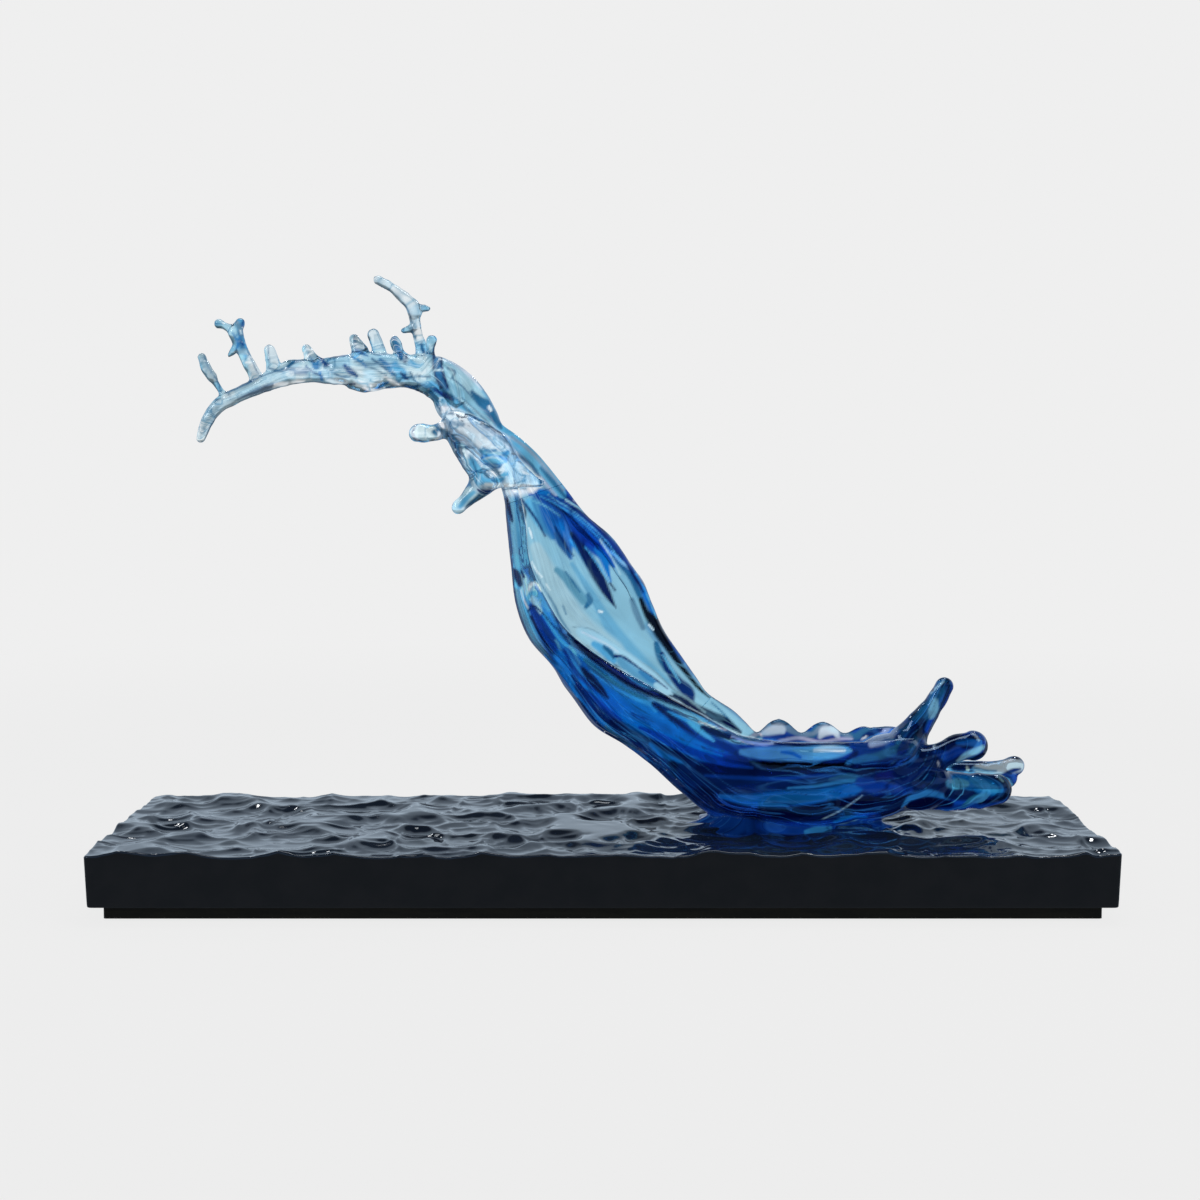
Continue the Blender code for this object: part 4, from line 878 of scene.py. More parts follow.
        ("teal", (906, 745, 11), (914, 728, 10), (924, 710, 9), (934, 692, 10), (942, 684, 9)),
        ("cobalt", (902, 752, 5), (908, 738, 5), (914, 724, 4)),
        ("sky", (898, 742, 2), (906, 732, 2.4), (912, 722, 1.4)),
        ("ice", (934, 702, 4), (934, 711, 5.4), (931, 717, 2)),
        ("navy", (923, 722, 4), (920, 732, 5), (926, 736, 3)),
        ("deep", (926, 700, 2), (930, 690, 3), (946, 684, 2), (946, 695, 2), (940, 706, 1.5)),
        ("clear", (931, 693, 0.8), (937, 687, 1), (943, 682, 1)),
        ("ink", (900, 727, 1.4), (912, 716, 1.4), (922, 701, 1.2), (931, 686, 1.2)),
        ("ink", (948, 680, 1.6), (949, 690, 1.4), (944, 702, 1.3), (936, 718, 1.4), (929, 735, 1.4)),
        ("navy", (930, 744, 5), (945, 744, 8), (958, 742, 8), (972, 742, 7)),
        ("royal", (936, 752, 3), (948, 756, 5), (958, 750, 4)),
        ("river", (958, 742, 2.4), (970, 742, 4), (980, 745, 3)),
        ("ice", (958, 761, 1.6), (966, 755, 2.8), (976, 751, 3.2), (983, 747, 2)),
        ("ink", (932, 739, 1.8), (950, 737, 2.4), (965, 729, 2.4), (977, 727, 2.4), (986, 732, 2.8), (989, 743, 2.8),
         (984, 754, 2.4), (971, 760, 1.8)),
        ("clear", (972, 733, 0.8), (976, 736, 1), (979, 740, 0.8)),
        ("ink", (975, 778, 1), (990, 778, 1.4), (1004, 781, 1.6), (1010, 787, 2.2), (1009, 793, 3), (1000, 799, 2.4),
         (980, 803, 2)),
        ("azure", (955, 780, 7), (972, 783, 8), (990, 787, 8), (1000, 790, 4)),
        ("aqua", (950, 784, 4), (958, 784, 5.4), (966, 784, 3)),
        ("sky", (972, 780, 3), (986, 787, 5), (998, 790, 3)),
        ("navy", (948, 795, 4), (960, 795, 6), (972, 795, 5)),
        ("teal", (964, 806, 2), (974, 798, 2), (986, 794, 1.4)),
        ("clear", (934, 744, 1), (934, 748, 1)),
        ("clear", (938, 762, 0.9), (939, 766, 0.9)),
        ("clear", (967, 767, 1), (968, 770, 1)),
        ("ice", (998, 776, 0.8), (1003, 781, 1)),
    ]},
    "paleFinger": {"behind": (0.7, 0.8, 0.86), "haze": 0.4, "warm": 0, "lines": [
        ("glass", (978, 768, 4), (990, 768, 6), (1006, 766, 7), (1019, 764, 8)),
        ("slate", (974, 768, 2), (985, 771, 2), (996, 771, 1)), ("teal", (984, 764, 0.7), (1000, 760, 0.8), (1012, 757, 0.8)),
        ("clear", (1004, 762, 0.8), (1012, 760, 1)),
        ("deep", (1004, 775, 2), (1012, 771, 2.4), (1020, 769, 1.4)),
        ("ink", (1014, 757, 2), (1022, 757, 3), (1027, 764, 1.6), (1024, 773, 1.4)),
    ]},
    "sheet": {"behind": (0.7, 0.83, 0.9), "warm": 0, "haze": 0.1, "lines": [
        ("aqua", (425, 362, 14), (450, 378, 22), (475, 402, 22), (500, 432, 18), (530, 462, 17), (548, 474, 11),
         (562, 485, 5)),
        ("ice", (415, 366, 10), (440, 372, 12), (460, 384, 12), (478, 402, 9), (490, 420, 5)),
        ("mist", (440, 358, 2.4), (455, 362, 3.2), (470, 374, 3), (482, 388, 2)),
        ("pane", (448, 384, 4), (463, 395, 5), (478, 410, 5), (488, 420, 3)),
        ("teal", (452, 378, 0.7), (464, 388, 0.9), (474, 400, 0.7)), ("ice", (458, 398, 1), (474, 410, 1.4), (490, 426, 1.2)),
        ("teal", (472, 392, 2), (480, 401, 4.6), (490, 408, 7), (496, 419, 5), (501, 428, 1.6)),
        ("clear", (489, 407, 1.2), (491, 410, 1.2)),
        ("smoke", (470, 370, 1.2), (482, 387, 1.6), (492, 402, 1.4), (501, 421, 1.2)),
        ("brook", (434, 352, 2.4), (436, 363, 3.6), (441, 379, 4.4), (446, 389, 3)),
        ("lake", (440, 362, 0.9), (443, 374, 1.4), (447, 388, 1)), ("ice", (431, 346, 2), (432, 354, 1.4)),
        ("deep", (436, 343, 1.5), (433, 358, 1.2), (434, 372, 1.2), (441, 388, 1.4)),
        ("deep", (441, 358, 1.2), (443, 372, 1.2), (448, 387, 1.2)),
        ("clear", (435, 370, 0.8), (439, 370, 1.2), (443, 370, 0.8)),
        ("slate", (448, 368, 1), (455, 372, 1.4), (451, 379, 1)),
        ("teal", (420, 385, 0.9), (440, 391, 1.2), (455, 398, 1.2), (470, 412, 1.4), (485, 427, 1.4), (497, 438, 1)),
        ("cobalt", (434, 390, 1.2), (444, 395, 2.6), (453, 400, 1.2)),
        ("slate", (462, 398, 0.9), (480, 415, 1.2), (496, 431, 1.2)),
        ("slate", (463, 403, 1), (468, 411, 1.4), (477, 420, 1)),
        ("haze", (480, 427, 2.4), (498, 436, 4.6), (516, 448, 6), (533, 463, 6), (546, 480, 4), (556, 494, 2)),
        ("slate", (500, 438, 1), (520, 452, 2.2), (535, 470, 1.8), (543, 484, 1)),
        ("aqua", (510, 442, 3), (530, 456, 5), (548, 476, 5), (562, 494, 4)),
        ("teal", (512, 452, 1), (528, 462, 2), (537, 474, 2), (541, 484, 1)),
        ("ice", (520, 464, 2), (529, 472, 3.4), (537, 481, 2)),
        ("smoke", (512, 437, 1.4), (530, 451, 1.8), (548, 471, 1.8), (563, 490, 1.6)),
        ("teal", (541, 468, 1.6), (553, 482, 2.4), (565, 497, 1.6)),
    ]},
    "shoulder": {"behind": (0.4, 0.62, 0.76), "warm": 0, "haze": 0.3, "lines": [
        ("mist", (440, 414, 9), (455, 425, 15), (472, 442, 19), (490, 462, 24), (508, 478, 18), (530, 485, 8)),
        ("smoke", (448, 414, 1.6), (453, 414, 1.6)),
        ("smoke", (452, 423, 2.6), (462, 424, 3)),
        ("teal", (445, 432, 1.4), (455, 440, 2.2), (464, 447, 2.4), (474, 448, 1.2)),
        ("teal", (431, 392, 2.6), (437, 402, 2), (441, 410, 1)),
        ("slate", (438, 431, 4), (449, 436, 4), (457, 446, 3.4)),
        ("teal", (454, 443, 1.2), (458, 456, 1.4), (461, 470, 3), (468, 480, 3), (471, 487, 2)),
        ("slate", (462, 468, 3), (470, 478, 5), (474, 490, 6)),
        ("aqua", (482, 451, 3), (490, 454, 5), (500, 457, 5.4), (507, 453, 2.4)),
        ("sky", (484, 455, 1), (492, 461, 1.6), (500, 465, 1.4)), ("ice", (486, 452, 0.8), (495, 453, 1), (504, 456, 0.8)),
        ("brook", (482, 447, 1), (488, 451, 1.8), (496, 450, 1.4)), ("brook", (494, 458, 1), (502, 456, 1.8), (508, 451, 1)),
        ("sky", (482, 458, 1.6), (492, 456, 1.4), (506, 460, 2)),
        ("aqua", (483, 461, 1.6), (494, 461, 2.6), (505, 462, 1.6)),
        ("brook", (481, 463, 0.8), (489, 465, 1.3), (498, 468, 1.3), (502, 464, 0.8)),
        ("ice", (484, 459, 0.8), (494, 457, 1), (502, 461, 0.8)),
        ("slate", (470, 456, 1), (475, 463, 2), (482, 471, 2.2), (489, 479, 2)),
        ("aqua", (478, 478, 3), (492, 483, 4), (506, 474, 3)),
        ("slate", (494, 470, 1), (499, 474, 1)),
        ("deep", (478, 490, 1.6), (487, 492, 2.4), (498, 490, 1.2)),
        ("aqua", (468, 458, 4), (476, 468, 5), (480, 480, 5)),
        ("brook", (448, 433, 1.2), (455, 441, 1.5), (459, 453, 1.6), (461, 467, 1.8), (466, 480, 2), (472, 491, 2)),
        ("deep", (447, 434, 0.9), (454, 443, 1), (457, 456, 1), (460, 470, 1.1), (465, 484, 1.1)),
        ("ice", (462, 444, 1.6), (466, 456, 1.8), (469, 470, 1.6)),
        ("teal", (466, 452, 0.8), (473, 462, 1), (477, 474, 1), (476, 486, 0.8)),
        ("slate", (480, 473, 0.8), (490, 470, 1), (501, 472, 0.8)),
        ("clear", (486, 484, 1.6), (508, 485, 2.4), (532, 485, 1.6)),
        ("slate", (502, 490, 0.9), (514, 488, 1.2), (526, 489, 0.9)),
        ("ice", (416, 432, 8), (428, 432, 8)),
        ("deep", (434, 424, 0.9), (420, 424, 0.9), (414, 430, 1.2), (415, 438, 1.4), (421, 441, 1)),
        ("teal", (434, 432, 2.4), (439, 433, 4), (441, 439, 1.6)),
        ("ice", (470, 494, 7), (461, 503, 7), (457, 508, 6)), ("aqua", (474, 492, 2), (466, 499, 2.4), (460, 507, 2)),
        ("deep", (452, 505, 1), (455, 499, 1), (462, 494, 1)),
        ("teal", (465, 508, 1.4), (473, 501, 1.4), (480, 495, 1.2)),
    ]},
    "arm": {"behind": (0.46, 0.7, 0.82), "warm": 0, "haze": 0.12, "lines": [
        ("ice", (232, 397, 10), (262, 384, 12), (300, 371, 14), (340, 368, 17), (380, 370, 20), (412, 368, 20)),
        ("teal", (226, 393, 1.2), (240, 386.5, 1.3), (255, 379, 1.5), (262, 376, 1)),
        ("smoke", (238, 399, 1), (252, 393, 2.4), (266, 387, 3), (276, 383, 1.6)),
        ("teal", (214, 399, 1.4), (222, 401, 1.5), (228, 402, 1.4)),
        ("teal", (229, 394, 0.9), (231, 403, 1.1)),
        ("teal", (269, 368, 1), (278, 371, 1.2), (286, 370, 1.4), (292, 364, 1.8), (299, 361, 1.4)),
        ("smoke", (292, 371, 3.6), (305, 371, 3.6)),
        ("brook", (313, 361, 2), (316, 367, 3), (318, 362, 1.6)),
        ("lake", (320, 359, 1.4), (325, 364, 2.6), (329, 365, 1.4)),
        ("lake", (330, 357, 2), (337, 353, 4.4), (344, 355, 2.8)),
        ("lake", (345, 366, 2), (350, 371, 3.2), (357, 376, 1.6)),
        ("sky", (320, 372, 1.2), (322, 379, 1.4)),
        ("clear", (275, 386, 2.4), (288, 384, 3), (300, 381, 2.2)),
        ("clear", (325, 376, 1.6), (335, 380, 3), (346, 382, 2.2)),
        ("clear", (355, 383, 2), (366, 385, 3), (380, 381, 3)),
        ("deep", (296, 383.5, 0.9), (301, 383, 0.7)),
        ("deep", (344, 384, 0.9), (355, 384, 1.1)),
        ("sky", (366, 389, 1.6), (373, 391, 2.6), (380, 386, 2.4), (388, 382, 1.2)),
        ("slate", (360, 364, 0.8), (372, 368, 1), (386, 375, 1)),
        ("teal", (372, 359, 1), (385, 368, 1.8), (395, 375, 1.8), (400, 380, 0.8)),
        ("aqua", (395, 366, 4), (402, 374, 5), (398, 380, 3)),
        ("deep", (405, 357, 2.4), (405, 361, 2.4)),
        ("deep", (401, 373, 1.4), (405, 377, 2.2), (408, 379, 0.8)),
        ("aqua", (410, 363, 2.4), (418, 366, 2), (423, 364, 0.8)),
        ("slate", (355, 362, 0.8), (372, 364, 1), (392, 364, 0.8)),
        ("teal", (402, 384, 0.8), (412, 387, 1.6), (421, 386, 1)),
        ("teal", (402, 378, 0.8), (416, 376, 0.9), (430, 377, 1)),
        ("teal", (262, 377, 0.7), (280, 370, 0.8), (296, 363, 0.8), (310, 360, 0.9), (326, 353, 1), (342, 350, 1),
         (352, 353, 0.8)),
        ("teal", (352, 352, 0.7), (366, 352, 0.8), (378, 356, 0.8), (390, 353, 0.8)),
        ("deep", (262, 391, 0.6), (280, 389, 0.7), (300, 387, 0.7), (322, 384, 0.8), (340, 387, 0.9), (352, 391, 0.8)),
        ("deep", (352, 390, 0.7), (366, 393, 0.9), (380, 391, 0.9), (394, 386, 0.9), (408, 387, 0.8), (422, 393, 0.8),
         (434, 405, 0.8)),
        ("lake", (306, 366, 0.7), (313, 372, 1.1), (322, 376, 0.7)), ("teal", (330, 370, 0.7), (340, 376, 1), (350, 377, 0.7)),
        ("brook", (352, 357, 1.2), (360, 361, 1.8), (366, 367, 1.2)), ("brook", (380, 360, 1.4), (388, 366, 2), (392, 374, 1.4)),
        ("clear", (322, 368, 0.9), (330, 372, 1.2), (338, 370, 0.8)), ("clear", (358, 371, 1), (367, 375, 1.3), (376, 377, 0.9)),
        ("clear", (388, 379, 0.8), (396, 385, 1.2), (404, 383, 0.7)), ("teal", (410, 372, 0.8), (416, 381, 1), (426, 386, 0.7)),
    ]},
    "stems": {"behind": (0.84, 0.9, 0.93), "warm": 0, "haze": 0.08, "lines": [
        ("glass", (228, 403, 7), (214, 412, 8), (205, 426, 7), (201, 438, 5)),
        ("grey", (218, 408, 2), (207, 422, 2), (201, 436, 1.6)), ("slate", (222, 413, 0.8), (212, 424, 0.9), (206, 438, 0.8)),
        ("teal", (221, 392, 1), (219, 384, 1), (212, 376, 1)),
        ("slate", (206, 366, 1), (209, 370, 1)),
        ("brook", (394, 339, 1.8), (398, 348, 2.4), (402, 358, 2.4)),
        ("slate", (356, 333, 2), (358, 345, 3), (364, 349, 2.4), (370, 345, 1)),
        ("teal", (421, 342, 1.2), (422, 348, 1.8), (424, 352, 1.8)),
        ("aqua", (240, 324, 5), (242, 340, 5), (247, 354, 3.4)),
        ("slate", (236, 322, 2), (240, 329, 3.4), (239, 338, 3.4), (242, 347, 2.4), (247, 353, 1.4)),
        ("lake", (244, 320, 1.4), (242, 325, 1.6), (245, 327, 0.8)), ("brook", (236, 333, 1.4), (239, 338, 1.8)),
        ("lake", (240, 341, 1), (243, 345, 1.2)), ("clear", (240, 331, 0.8), (241, 334, 0.8)),
        ("ice", (231, 328, 4), (234, 336, 4)),
        ("deep", (244, 319, 1.2), (246, 323, 1)),
        ("glass", (256, 372, 6), (252, 356, 5)),
        ("slate", (247, 332, 1), (252, 348, 1), (258, 366, 1)),
        ("glass", (377, 278, 6), (396, 288, 6), (412, 304, 8), (417, 322, 7), (419, 338, 5)),
        ("clear", (379, 279, 2.2), (396, 289, 2.4), (411, 303, 3), (416, 322, 2.8), (419, 338, 2)),
        ("grey", (204, 352, 6), (208, 366, 6), (214, 378, 5)),
        ("glass", (271, 346, 6), (276, 360, 6)),
        ("grey", (309, 346, 4), (313, 356, 4)),
        ("glass", (372, 328, 5), (379, 344, 6)),
        ("grey", (358, 332, 4), (362, 344, 5)),
        ("grey", (236, 352, 2), (248, 352, 3)), ("grey", (335, 352, 1), (352, 346, 2)),
        ("teal", (203, 350, 0.5), (206, 362, 0.6), (211, 372, 0.6), (217, 380, 0.6)),
        ("teal", (248, 352, 0.5), (254, 366, 0.6), (258, 374, 0.5)), ("brook", (233, 333, 1), (238, 343, 1.6), (236, 350, 1)),
        ("teal", (402, 302, 0.5), (410, 312, 0.6), (412, 326, 0.6), (414, 340, 0.6), (413, 350, 0.6)),
        ("slate", (419, 303, 0.5), (425, 306, 0.7)), ("slate", (408, 327, 0.8), (413, 332, 1.2), (416, 338, 0.8)),
        ("teal", (354, 332, 0.7), (355, 343, 0.8), (358, 352, 0.8)), ("teal", (392, 338, 0.7), (395, 350, 1), (401, 360, 1)),
        ("teal", (381, 334, 0.5), (385, 345, 0.6), (388, 354, 0.5)), ("teal", (306, 348, 0.6), (310, 357, 0.7), (315, 362, 0.6)),
        ("teal", (268, 346, 0.5), (269, 357, 0.6), (270, 366, 0.5)), ("brook", (356, 350, 1.2), (362, 354, 1.4), (367, 356, 0.8)),
    ]},
    # painted highlights: thin white lines where the wave shows glints
    "paintedGleams": {"behind": (1, 1, 1), "haze": 0.75, "warm": 0, "lines": [
        ("clear", (275, 383, 1.2), (281, 382.5, 1.8), (287, 382, 1)), ("clear", (293, 381, 1), (299, 381, 1.5), (304, 380, 0.9)),
        ("clear", (326, 379, 1), (334, 380.5, 1.8), (342, 382, 1)), ("clear", (356, 380, 1), (363, 383, 1.8), (371, 385, 1)),
        ("clear", (364, 387, 0.9), (374, 389, 1.5), (384, 388, 0.9)), ("clear", (384, 376, 0.8), (392, 380, 1.2), (399, 384, 0.8)),
        ("ice", (566, 500, 0.9), (588, 514, 1), (610, 533, 1), (626, 552, 0.9)), ("ice", (600, 540, 0.9), (612, 558, 1), (620, 574, 0.9)),
    ]},
}


dyeAndPaintedLight = {
    # a tone is the colour wanted against the pale backdrop, in 8-bit steps; clear also marks painted highlights, ink
    # and black painted shade
    "tones": {
        "clear": (238, 240, 242), "mist": (200, 216, 234), "haze": (160, 182, 212), "ice": (164, 205, 222),
        "pane": (126, 177, 201), "aqua": (88, 166, 208), "sky": (52, 142, 210), "azure": (14, 106, 186),
        "royal": (12, 62, 152), "cobalt": (9, 54, 128), "deep": (7, 38, 100), "navy": (5, 24, 76),
        "indigo": (20, 34, 104), "ink": (3, 9, 56), "black": (1, 2, 14), "teal": (36, 98, 140),
        "fog": (150, 186, 202), "river": (20, 92, 170), "mere": (98, 160, 194), "reed": (84, 140, 168), "glass": (192, 207, 215), "brook": (58, 128, 178), "lake": (30, 82, 140),
        "slate": (88, 130, 158), "smoke": (116, 150, 178), "grey": (156, 176, 186),
    },
    # how far a line stands out of the skin, in mm
    "lift": {"clear": 0.35, "mist": 0.3, "ice": 0.3, "aqua": 0.3, "sky": 0.4, "azure": 0.3, "navy": -0.35,
             "ink": -0.4, "black": -0.4, "indigo": -0.3, "deep": -0.2, "cobalt": -0.2, "teal": -0.25},
    "unpainted": ("cobalt", "ice"),     # on the body and on the crest
    "seenRounds": 7, "reliefRounds": 3,
    "thinnest": 0.9, "widest": 8,   # px: a line outside these only colours, without relief
    "soft": (0.8, 0.2),            # px, and times the half width
    "streaks": (34, 7, 77, 0.3),    # length along in mm, cells round, seed, strength
    "bodyBack": ((0.55, 0.85, 1.0), (0.12, 0.42, 0.85)),    # light and dark flow tints of what the picture hides
    "crestBack": ((1.0, 1.0, 1.0), (0.78, 0.9, 0.96)),
    "backCells": (60, 2.2, 51),     # length along, cells round, seed
    # backGlow: painted glow of the hidden skin
    "backGlow": 0.12, "backFade": (-45, 20),
    "paneBack": (0.84, 0.95, 1.0), "clearLines": 3,    # so many of the pane's first lines are clear right through
    "flow": (60, 6),                # the flow's own coordinates for the shader: mm along a unit, units of radius
    "flowLines": (75, 6, 81, 0.06),      # length along in mm, cells round, seed, width
    # dark veins darken dye and glow; light veins give off painted light
    "flowShade": (0.35, 0.4, 0.5), "flowPaintedLight": (0.008, 0.04, 0.1),
    "creases": (7, 91, 0.08),       # size in mm, seed, width: thin dark lines of painted shade in the creases of the crest's limbs
    "creaseShade": (0.3, 0.52, 0.66),
    "sparks": (5.5, 97, 0.07, 0.07),    # size, seed, width and painted light of thin pale lines there: painted glints
    "patches": (8, 95), "patchShade": (0.74, 0.88, 0.96),
}


def linear(tone):
    # 8-bit steps to light
    t = np.array(tone, float) / 255
    return np.where(t > 0.04045, ((t + 0.055) / 1.055) ** 2.4, t / 12.92)


def lineShare(x, y, rows):
    # how far inside a tapering line each point lies: 1 within its half width, falling smoothly to 0 outside
    rows = np.array(rows, float)
    length = np.sum(np.hypot(*np.diff(rows[:, :2], axis=0).T))
    path = evenRows(rows, int(length / 1.5) + 3, slice(0, 2))
    path[:, 2] = np.maximum(path[:, 2], 0.3)
    reach = path[:, 2].max() * 1.4 + 3
    low, high = path[:, :2].min(axis=0) - reach, path[:, :2].max(axis=0) + reach
    near = np.flatnonzero((x > low[0]) & (x < high[0]) & (y > low[1]) & (y < high[1]))
    share = np.zeros(len(x))
    for block in np.array_split(near, len(near) // 20000 + 1):
        away = np.hypot(x[block][:, None] - path[None, :, 0], y[block][:, None] - path[None, :, 1])
        soft = dyeAndPaintedLight["soft"][0] + dyeAndPaintedLight["soft"][1] * path[None, :, 2]
        share[block] = np.max(np.clip(0.5 - (away - path[None, :, 2]) / (2 * soft), 0, 1), axis=1)
    return share * share * (3 - 2 * share)


def veins(p, seed, width):
    # thin lines where a noise crosses zero, exp(-(n / width)^2), that come and go with a coarser one
    return np.exp(-(softNoise(p, seed) / width) ** 2) * smooth(-0.35, 0.3, softNoise(p / 2.3, seed + 1))


def crestShare(points, reach=(-6, 6)):
    # 0 on the deep body, 1 on the crest, changing over the seam between two distances from it
    d = toDrawing(points)
    down = unit(np.array(wave["seam"][1], float))
    return smooth(*reach, -(d - np.array(wave["seam"][0], float)) @ down)


def dressWave(mesh):
    # relief first: the crest's creases and the brush lines' lifts; then the dye with its painted highlights and shade,
    # and the painted glow, stored on the points
    points, normals = pointsOf(mesh), normalsOf(mesh)
    d = toDrawing(points)
    onCrest = crestShare(points)
    coarse, coarseSize, fine, fineSize = crest["crumple"]
    limbs = onCrest * np.maximum(smooth(-92, -104, d[:, 0]), smooth(-6, -12, d[:, 1]))
    calm = 1 - 0.7 * smooth(-205, -220, d[:, 0])
    creases = coarse * creased(d / coarseSize, 61) + fine * creased(d / fineSize, 62)
    calm = calm * (1 - 0.75 * smooth(-104, -94, d[:, 0]))
    height = creases * limbs * calm
    x, y, _ = inPicture(points)
    seen = firstSeen(points, normals)
    mean = neighbourMean(mesh, points)
    for _ in range(dyeAndPaintedLight["seenRounds"]):
        seen = mean(seen[:, None])[:, 0]
    firm, seen = smooth(0.5, 0.9, seen), smooth(0.04, 0.5, seen)
    paper = np.array(studio["paper"])
    plainTint = [linear(dyeAndPaintedLight["tones"][tone]) / paper for tone in dyeAndPaintedLight["unpainted"]]
    front = plainTint[0] + onCrest[:, None] * (plainTint[1] - plainTint[0])
    # painted glow: the unpainted body gives off 0.4 of the light its tint would pass
    glow = 0.4 * (1 - onCrest)[:, None] * front * paper
    onPicture = np.flatnonzero(seen > 0.01)
    px, py = x[onPicture], y[onPicture]
    for region in brush.values():
        behind = np.array(region["behind"]) * paper
        for tone, *rows in region["lines"]:
            # each line tints the skin towards its tone; the haze share and whatever the tint cannot pass are painted
            # glow
            share = lineShare(px, py, rows)
            wanted = linear(dyeAndPaintedLight["tones"][tone])
            passed = np.clip(wanted * (1 - region["haze"]) / behind, 0, 1)
            front[onPicture] += share[:, None] * (passed - front[onPicture])
            fill = np.maximum(wanted * (1 - region["haze"]) - passed * behind, 0)
            fill = fill.min() + region.get("warm", 0.3) * (fill - fill.min())
            glow[onPicture] += share[:, None] * (wanted * region["haze"] + fill - glow[onPicture])
            if dyeAndPaintedLight["thinnest"] <= max(row[2] for row in rows) <= dyeAndPaintedLight["widest"]:
                height[onPicture] += share * dyeAndPaintedLight["lift"].get(tone, 0) * firm[onPicture]
    clearLines = brush["pane"]["lines"][:dyeAndPaintedLight["clearLines"]] + brush["paleFinger"]["lines"][:1]
    pane = np.max([lineShare(x, y, rows) for tone, *rows in clearLines], axis=0) * (1 - onCrest)
    along, angle = flowPlace(points)
    length, cells, seed = dyeAndPaintedLight["backCells"]
    flow = softNoise(np.stack([along / length, cells * np.cos(angle) + 7, cells * np.sin(angle) + 7], axis=-1), seed)
    flow = smooth(-0.55, 0.6, flow + 0.5 * softNoise(d / 14, seed + 1))[:, None]
    bodyTint = dyeAndPaintedLight["bodyBack"][0] + flow * (np.array(dyeAndPaintedLight["bodyBack"][1]) - dyeAndPaintedLight["bodyBack"][0])
    crestTint = dyeAndPaintedLight["crestBack"][0] + flow * (np.array(dyeAndPaintedLight["crestBack"][1]) - dyeAndPaintedLight["crestBack"][0])
    bodyTint = bodyTint + pane[:, None] * (np.array(dyeAndPaintedLight["paneBack"]) - bodyTint)
    pale = crestShare(points, dyeAndPaintedLight["backFade"])[:, None]
    back = bodyTint + pale * (crestTint - bodyTint)
    length, cells, seed, strength = dyeAndPaintedLight["streaks"]
    streak = softNoise(np.stack([along / length, cells * np.cos(angle) + 9, cells * np.sin(angle) + 9], axis=-1), seed)
    streak = (streak + 0.6 * softNoise(d / 6.5, seed + 1)) * (1 - 0.7 * pane)
    front = np.clip(front * np.exp(strength * streak)[:, None], 0, 1)
    glow = glow * np.exp(strength * streak)[:, None]
    length, cells, seed, width = dyeAndPaintedLight["flowLines"]
    turned = np.stack([along / length, cells * np.cos(angle) + 9, cells * np.sin(angle) + 9], axis=-1)
    inBody = (1 - onCrest) * (1 - 0.8 * pane)
    dark, light = (veins(turned + k, seed + 4 * k, width) * inBody for k in range(2))
    crease = veins(d / dyeAndPaintedLight["creases"][0], dyeAndPaintedLight["creases"][1], dyeAndPaintedLight["creases"][2]) * limbs
    patch = smooth(0.05, 0.5, softNoise(d / dyeAndPaintedLight["patches"][0], dyeAndPaintedLight["patches"][1])) * limbs
    # the dark veins, the creases' painted shade and the patches darken the tint and the painted glow
    for share, shade in ((dark, "flowShade"), (crease, "creaseShade"), (patch, "patchShade")):
        shade = 1 - share[:, None] * (1 - np.array(dyeAndPaintedLight[shade]))
        front, glow, back = front * shade, glow * shade, back * (1 + shade) / 2
    # painted light along the light veins
    glow = glow + light[:, None] * np.array(dyeAndPaintedLight["flowPaintedLight"])
    # painted glints: thin pale lines on the limbs that also give off painted light
    size, seed, width, own = dyeAndPaintedLight["sparks"]
    spark = (veins(d / size, seed, width) * limbs)[:, None]
    front, glow = front + 0.8 * spark * (1 - front), glow + own * spark
    height = height + 0.08 * light - 0.1 * dark - 0.3 * crease
    tint = back + seen[:, None] * (front - back)
    # painted glow on the skin that the picture hides, none on the crest or behind the pane
    backGlow = dyeAndPaintedLight["backGlow"] * (1 - pale) * (1 - pane)[:, None] * back**2
    glow = backGlow + seen[:, None] * (glow - backGlow)
    for _ in range(dyeAndPaintedLight["reliefRounds"]):
        height = mean(height[:, None])[:, 0]
    setPoints(mesh, points + normals * (height * mm)[:, None])
    # the shader takes the root of its colour at each side of a wall, so the dye, painted shade and highlights included,
    # is the tint squared
    lively = (1 - 0.8 * pane) * (1 - 0.5 * onCrest * (1 - limbs))
    for name, values in (("dyeAndPaintedLight", tint**2), ("glow", glow)):
        colour = np.column_stack([values, lively]).astype(np.float32)
        mesh.attributes.new(name, "FLOAT_COLOR", "POINT").data.foreach_set("color", colour.ravel())
    length, cells = dyeAndPaintedLight["flow"]
    flow = np.stack([along / length, cells * np.cos(angle), cells * np.sin(angle)], axis=-1).astype(np.float32)
    mesh.attributes.new("flow", "FLOAT_VECTOR", "POINT").data.foreach_set("vector", flow.ravel())


dressWave(skin)
print("wave dyed")

def casting(name, seams):
    # a copy of the skin, sawn at each (seam, side) a little past the seam; side 1 keeps what lies below it
    mesh = skin.copy()
    for seam, side in seams:
        at, down = (np.array(v, float) for v in wave[seam])
        down = unit(down) * side
        sawn(mesh, toMetres(at - down * wave["seamLap"]), -down)
    print(name, "has", len(mesh.polygons), "faces")
    return place(name, mesh)


waveTrough = casting("waveTrough", [("lowSeam", 1)])
waveFlume = casting("waveFlume", [("lowSeam", -1), ("seam", 1)])
waveCrest = casting("waveCrest", [("seam", -1)])
bpy.data.meshes.remove(skin)


# the rippled cover

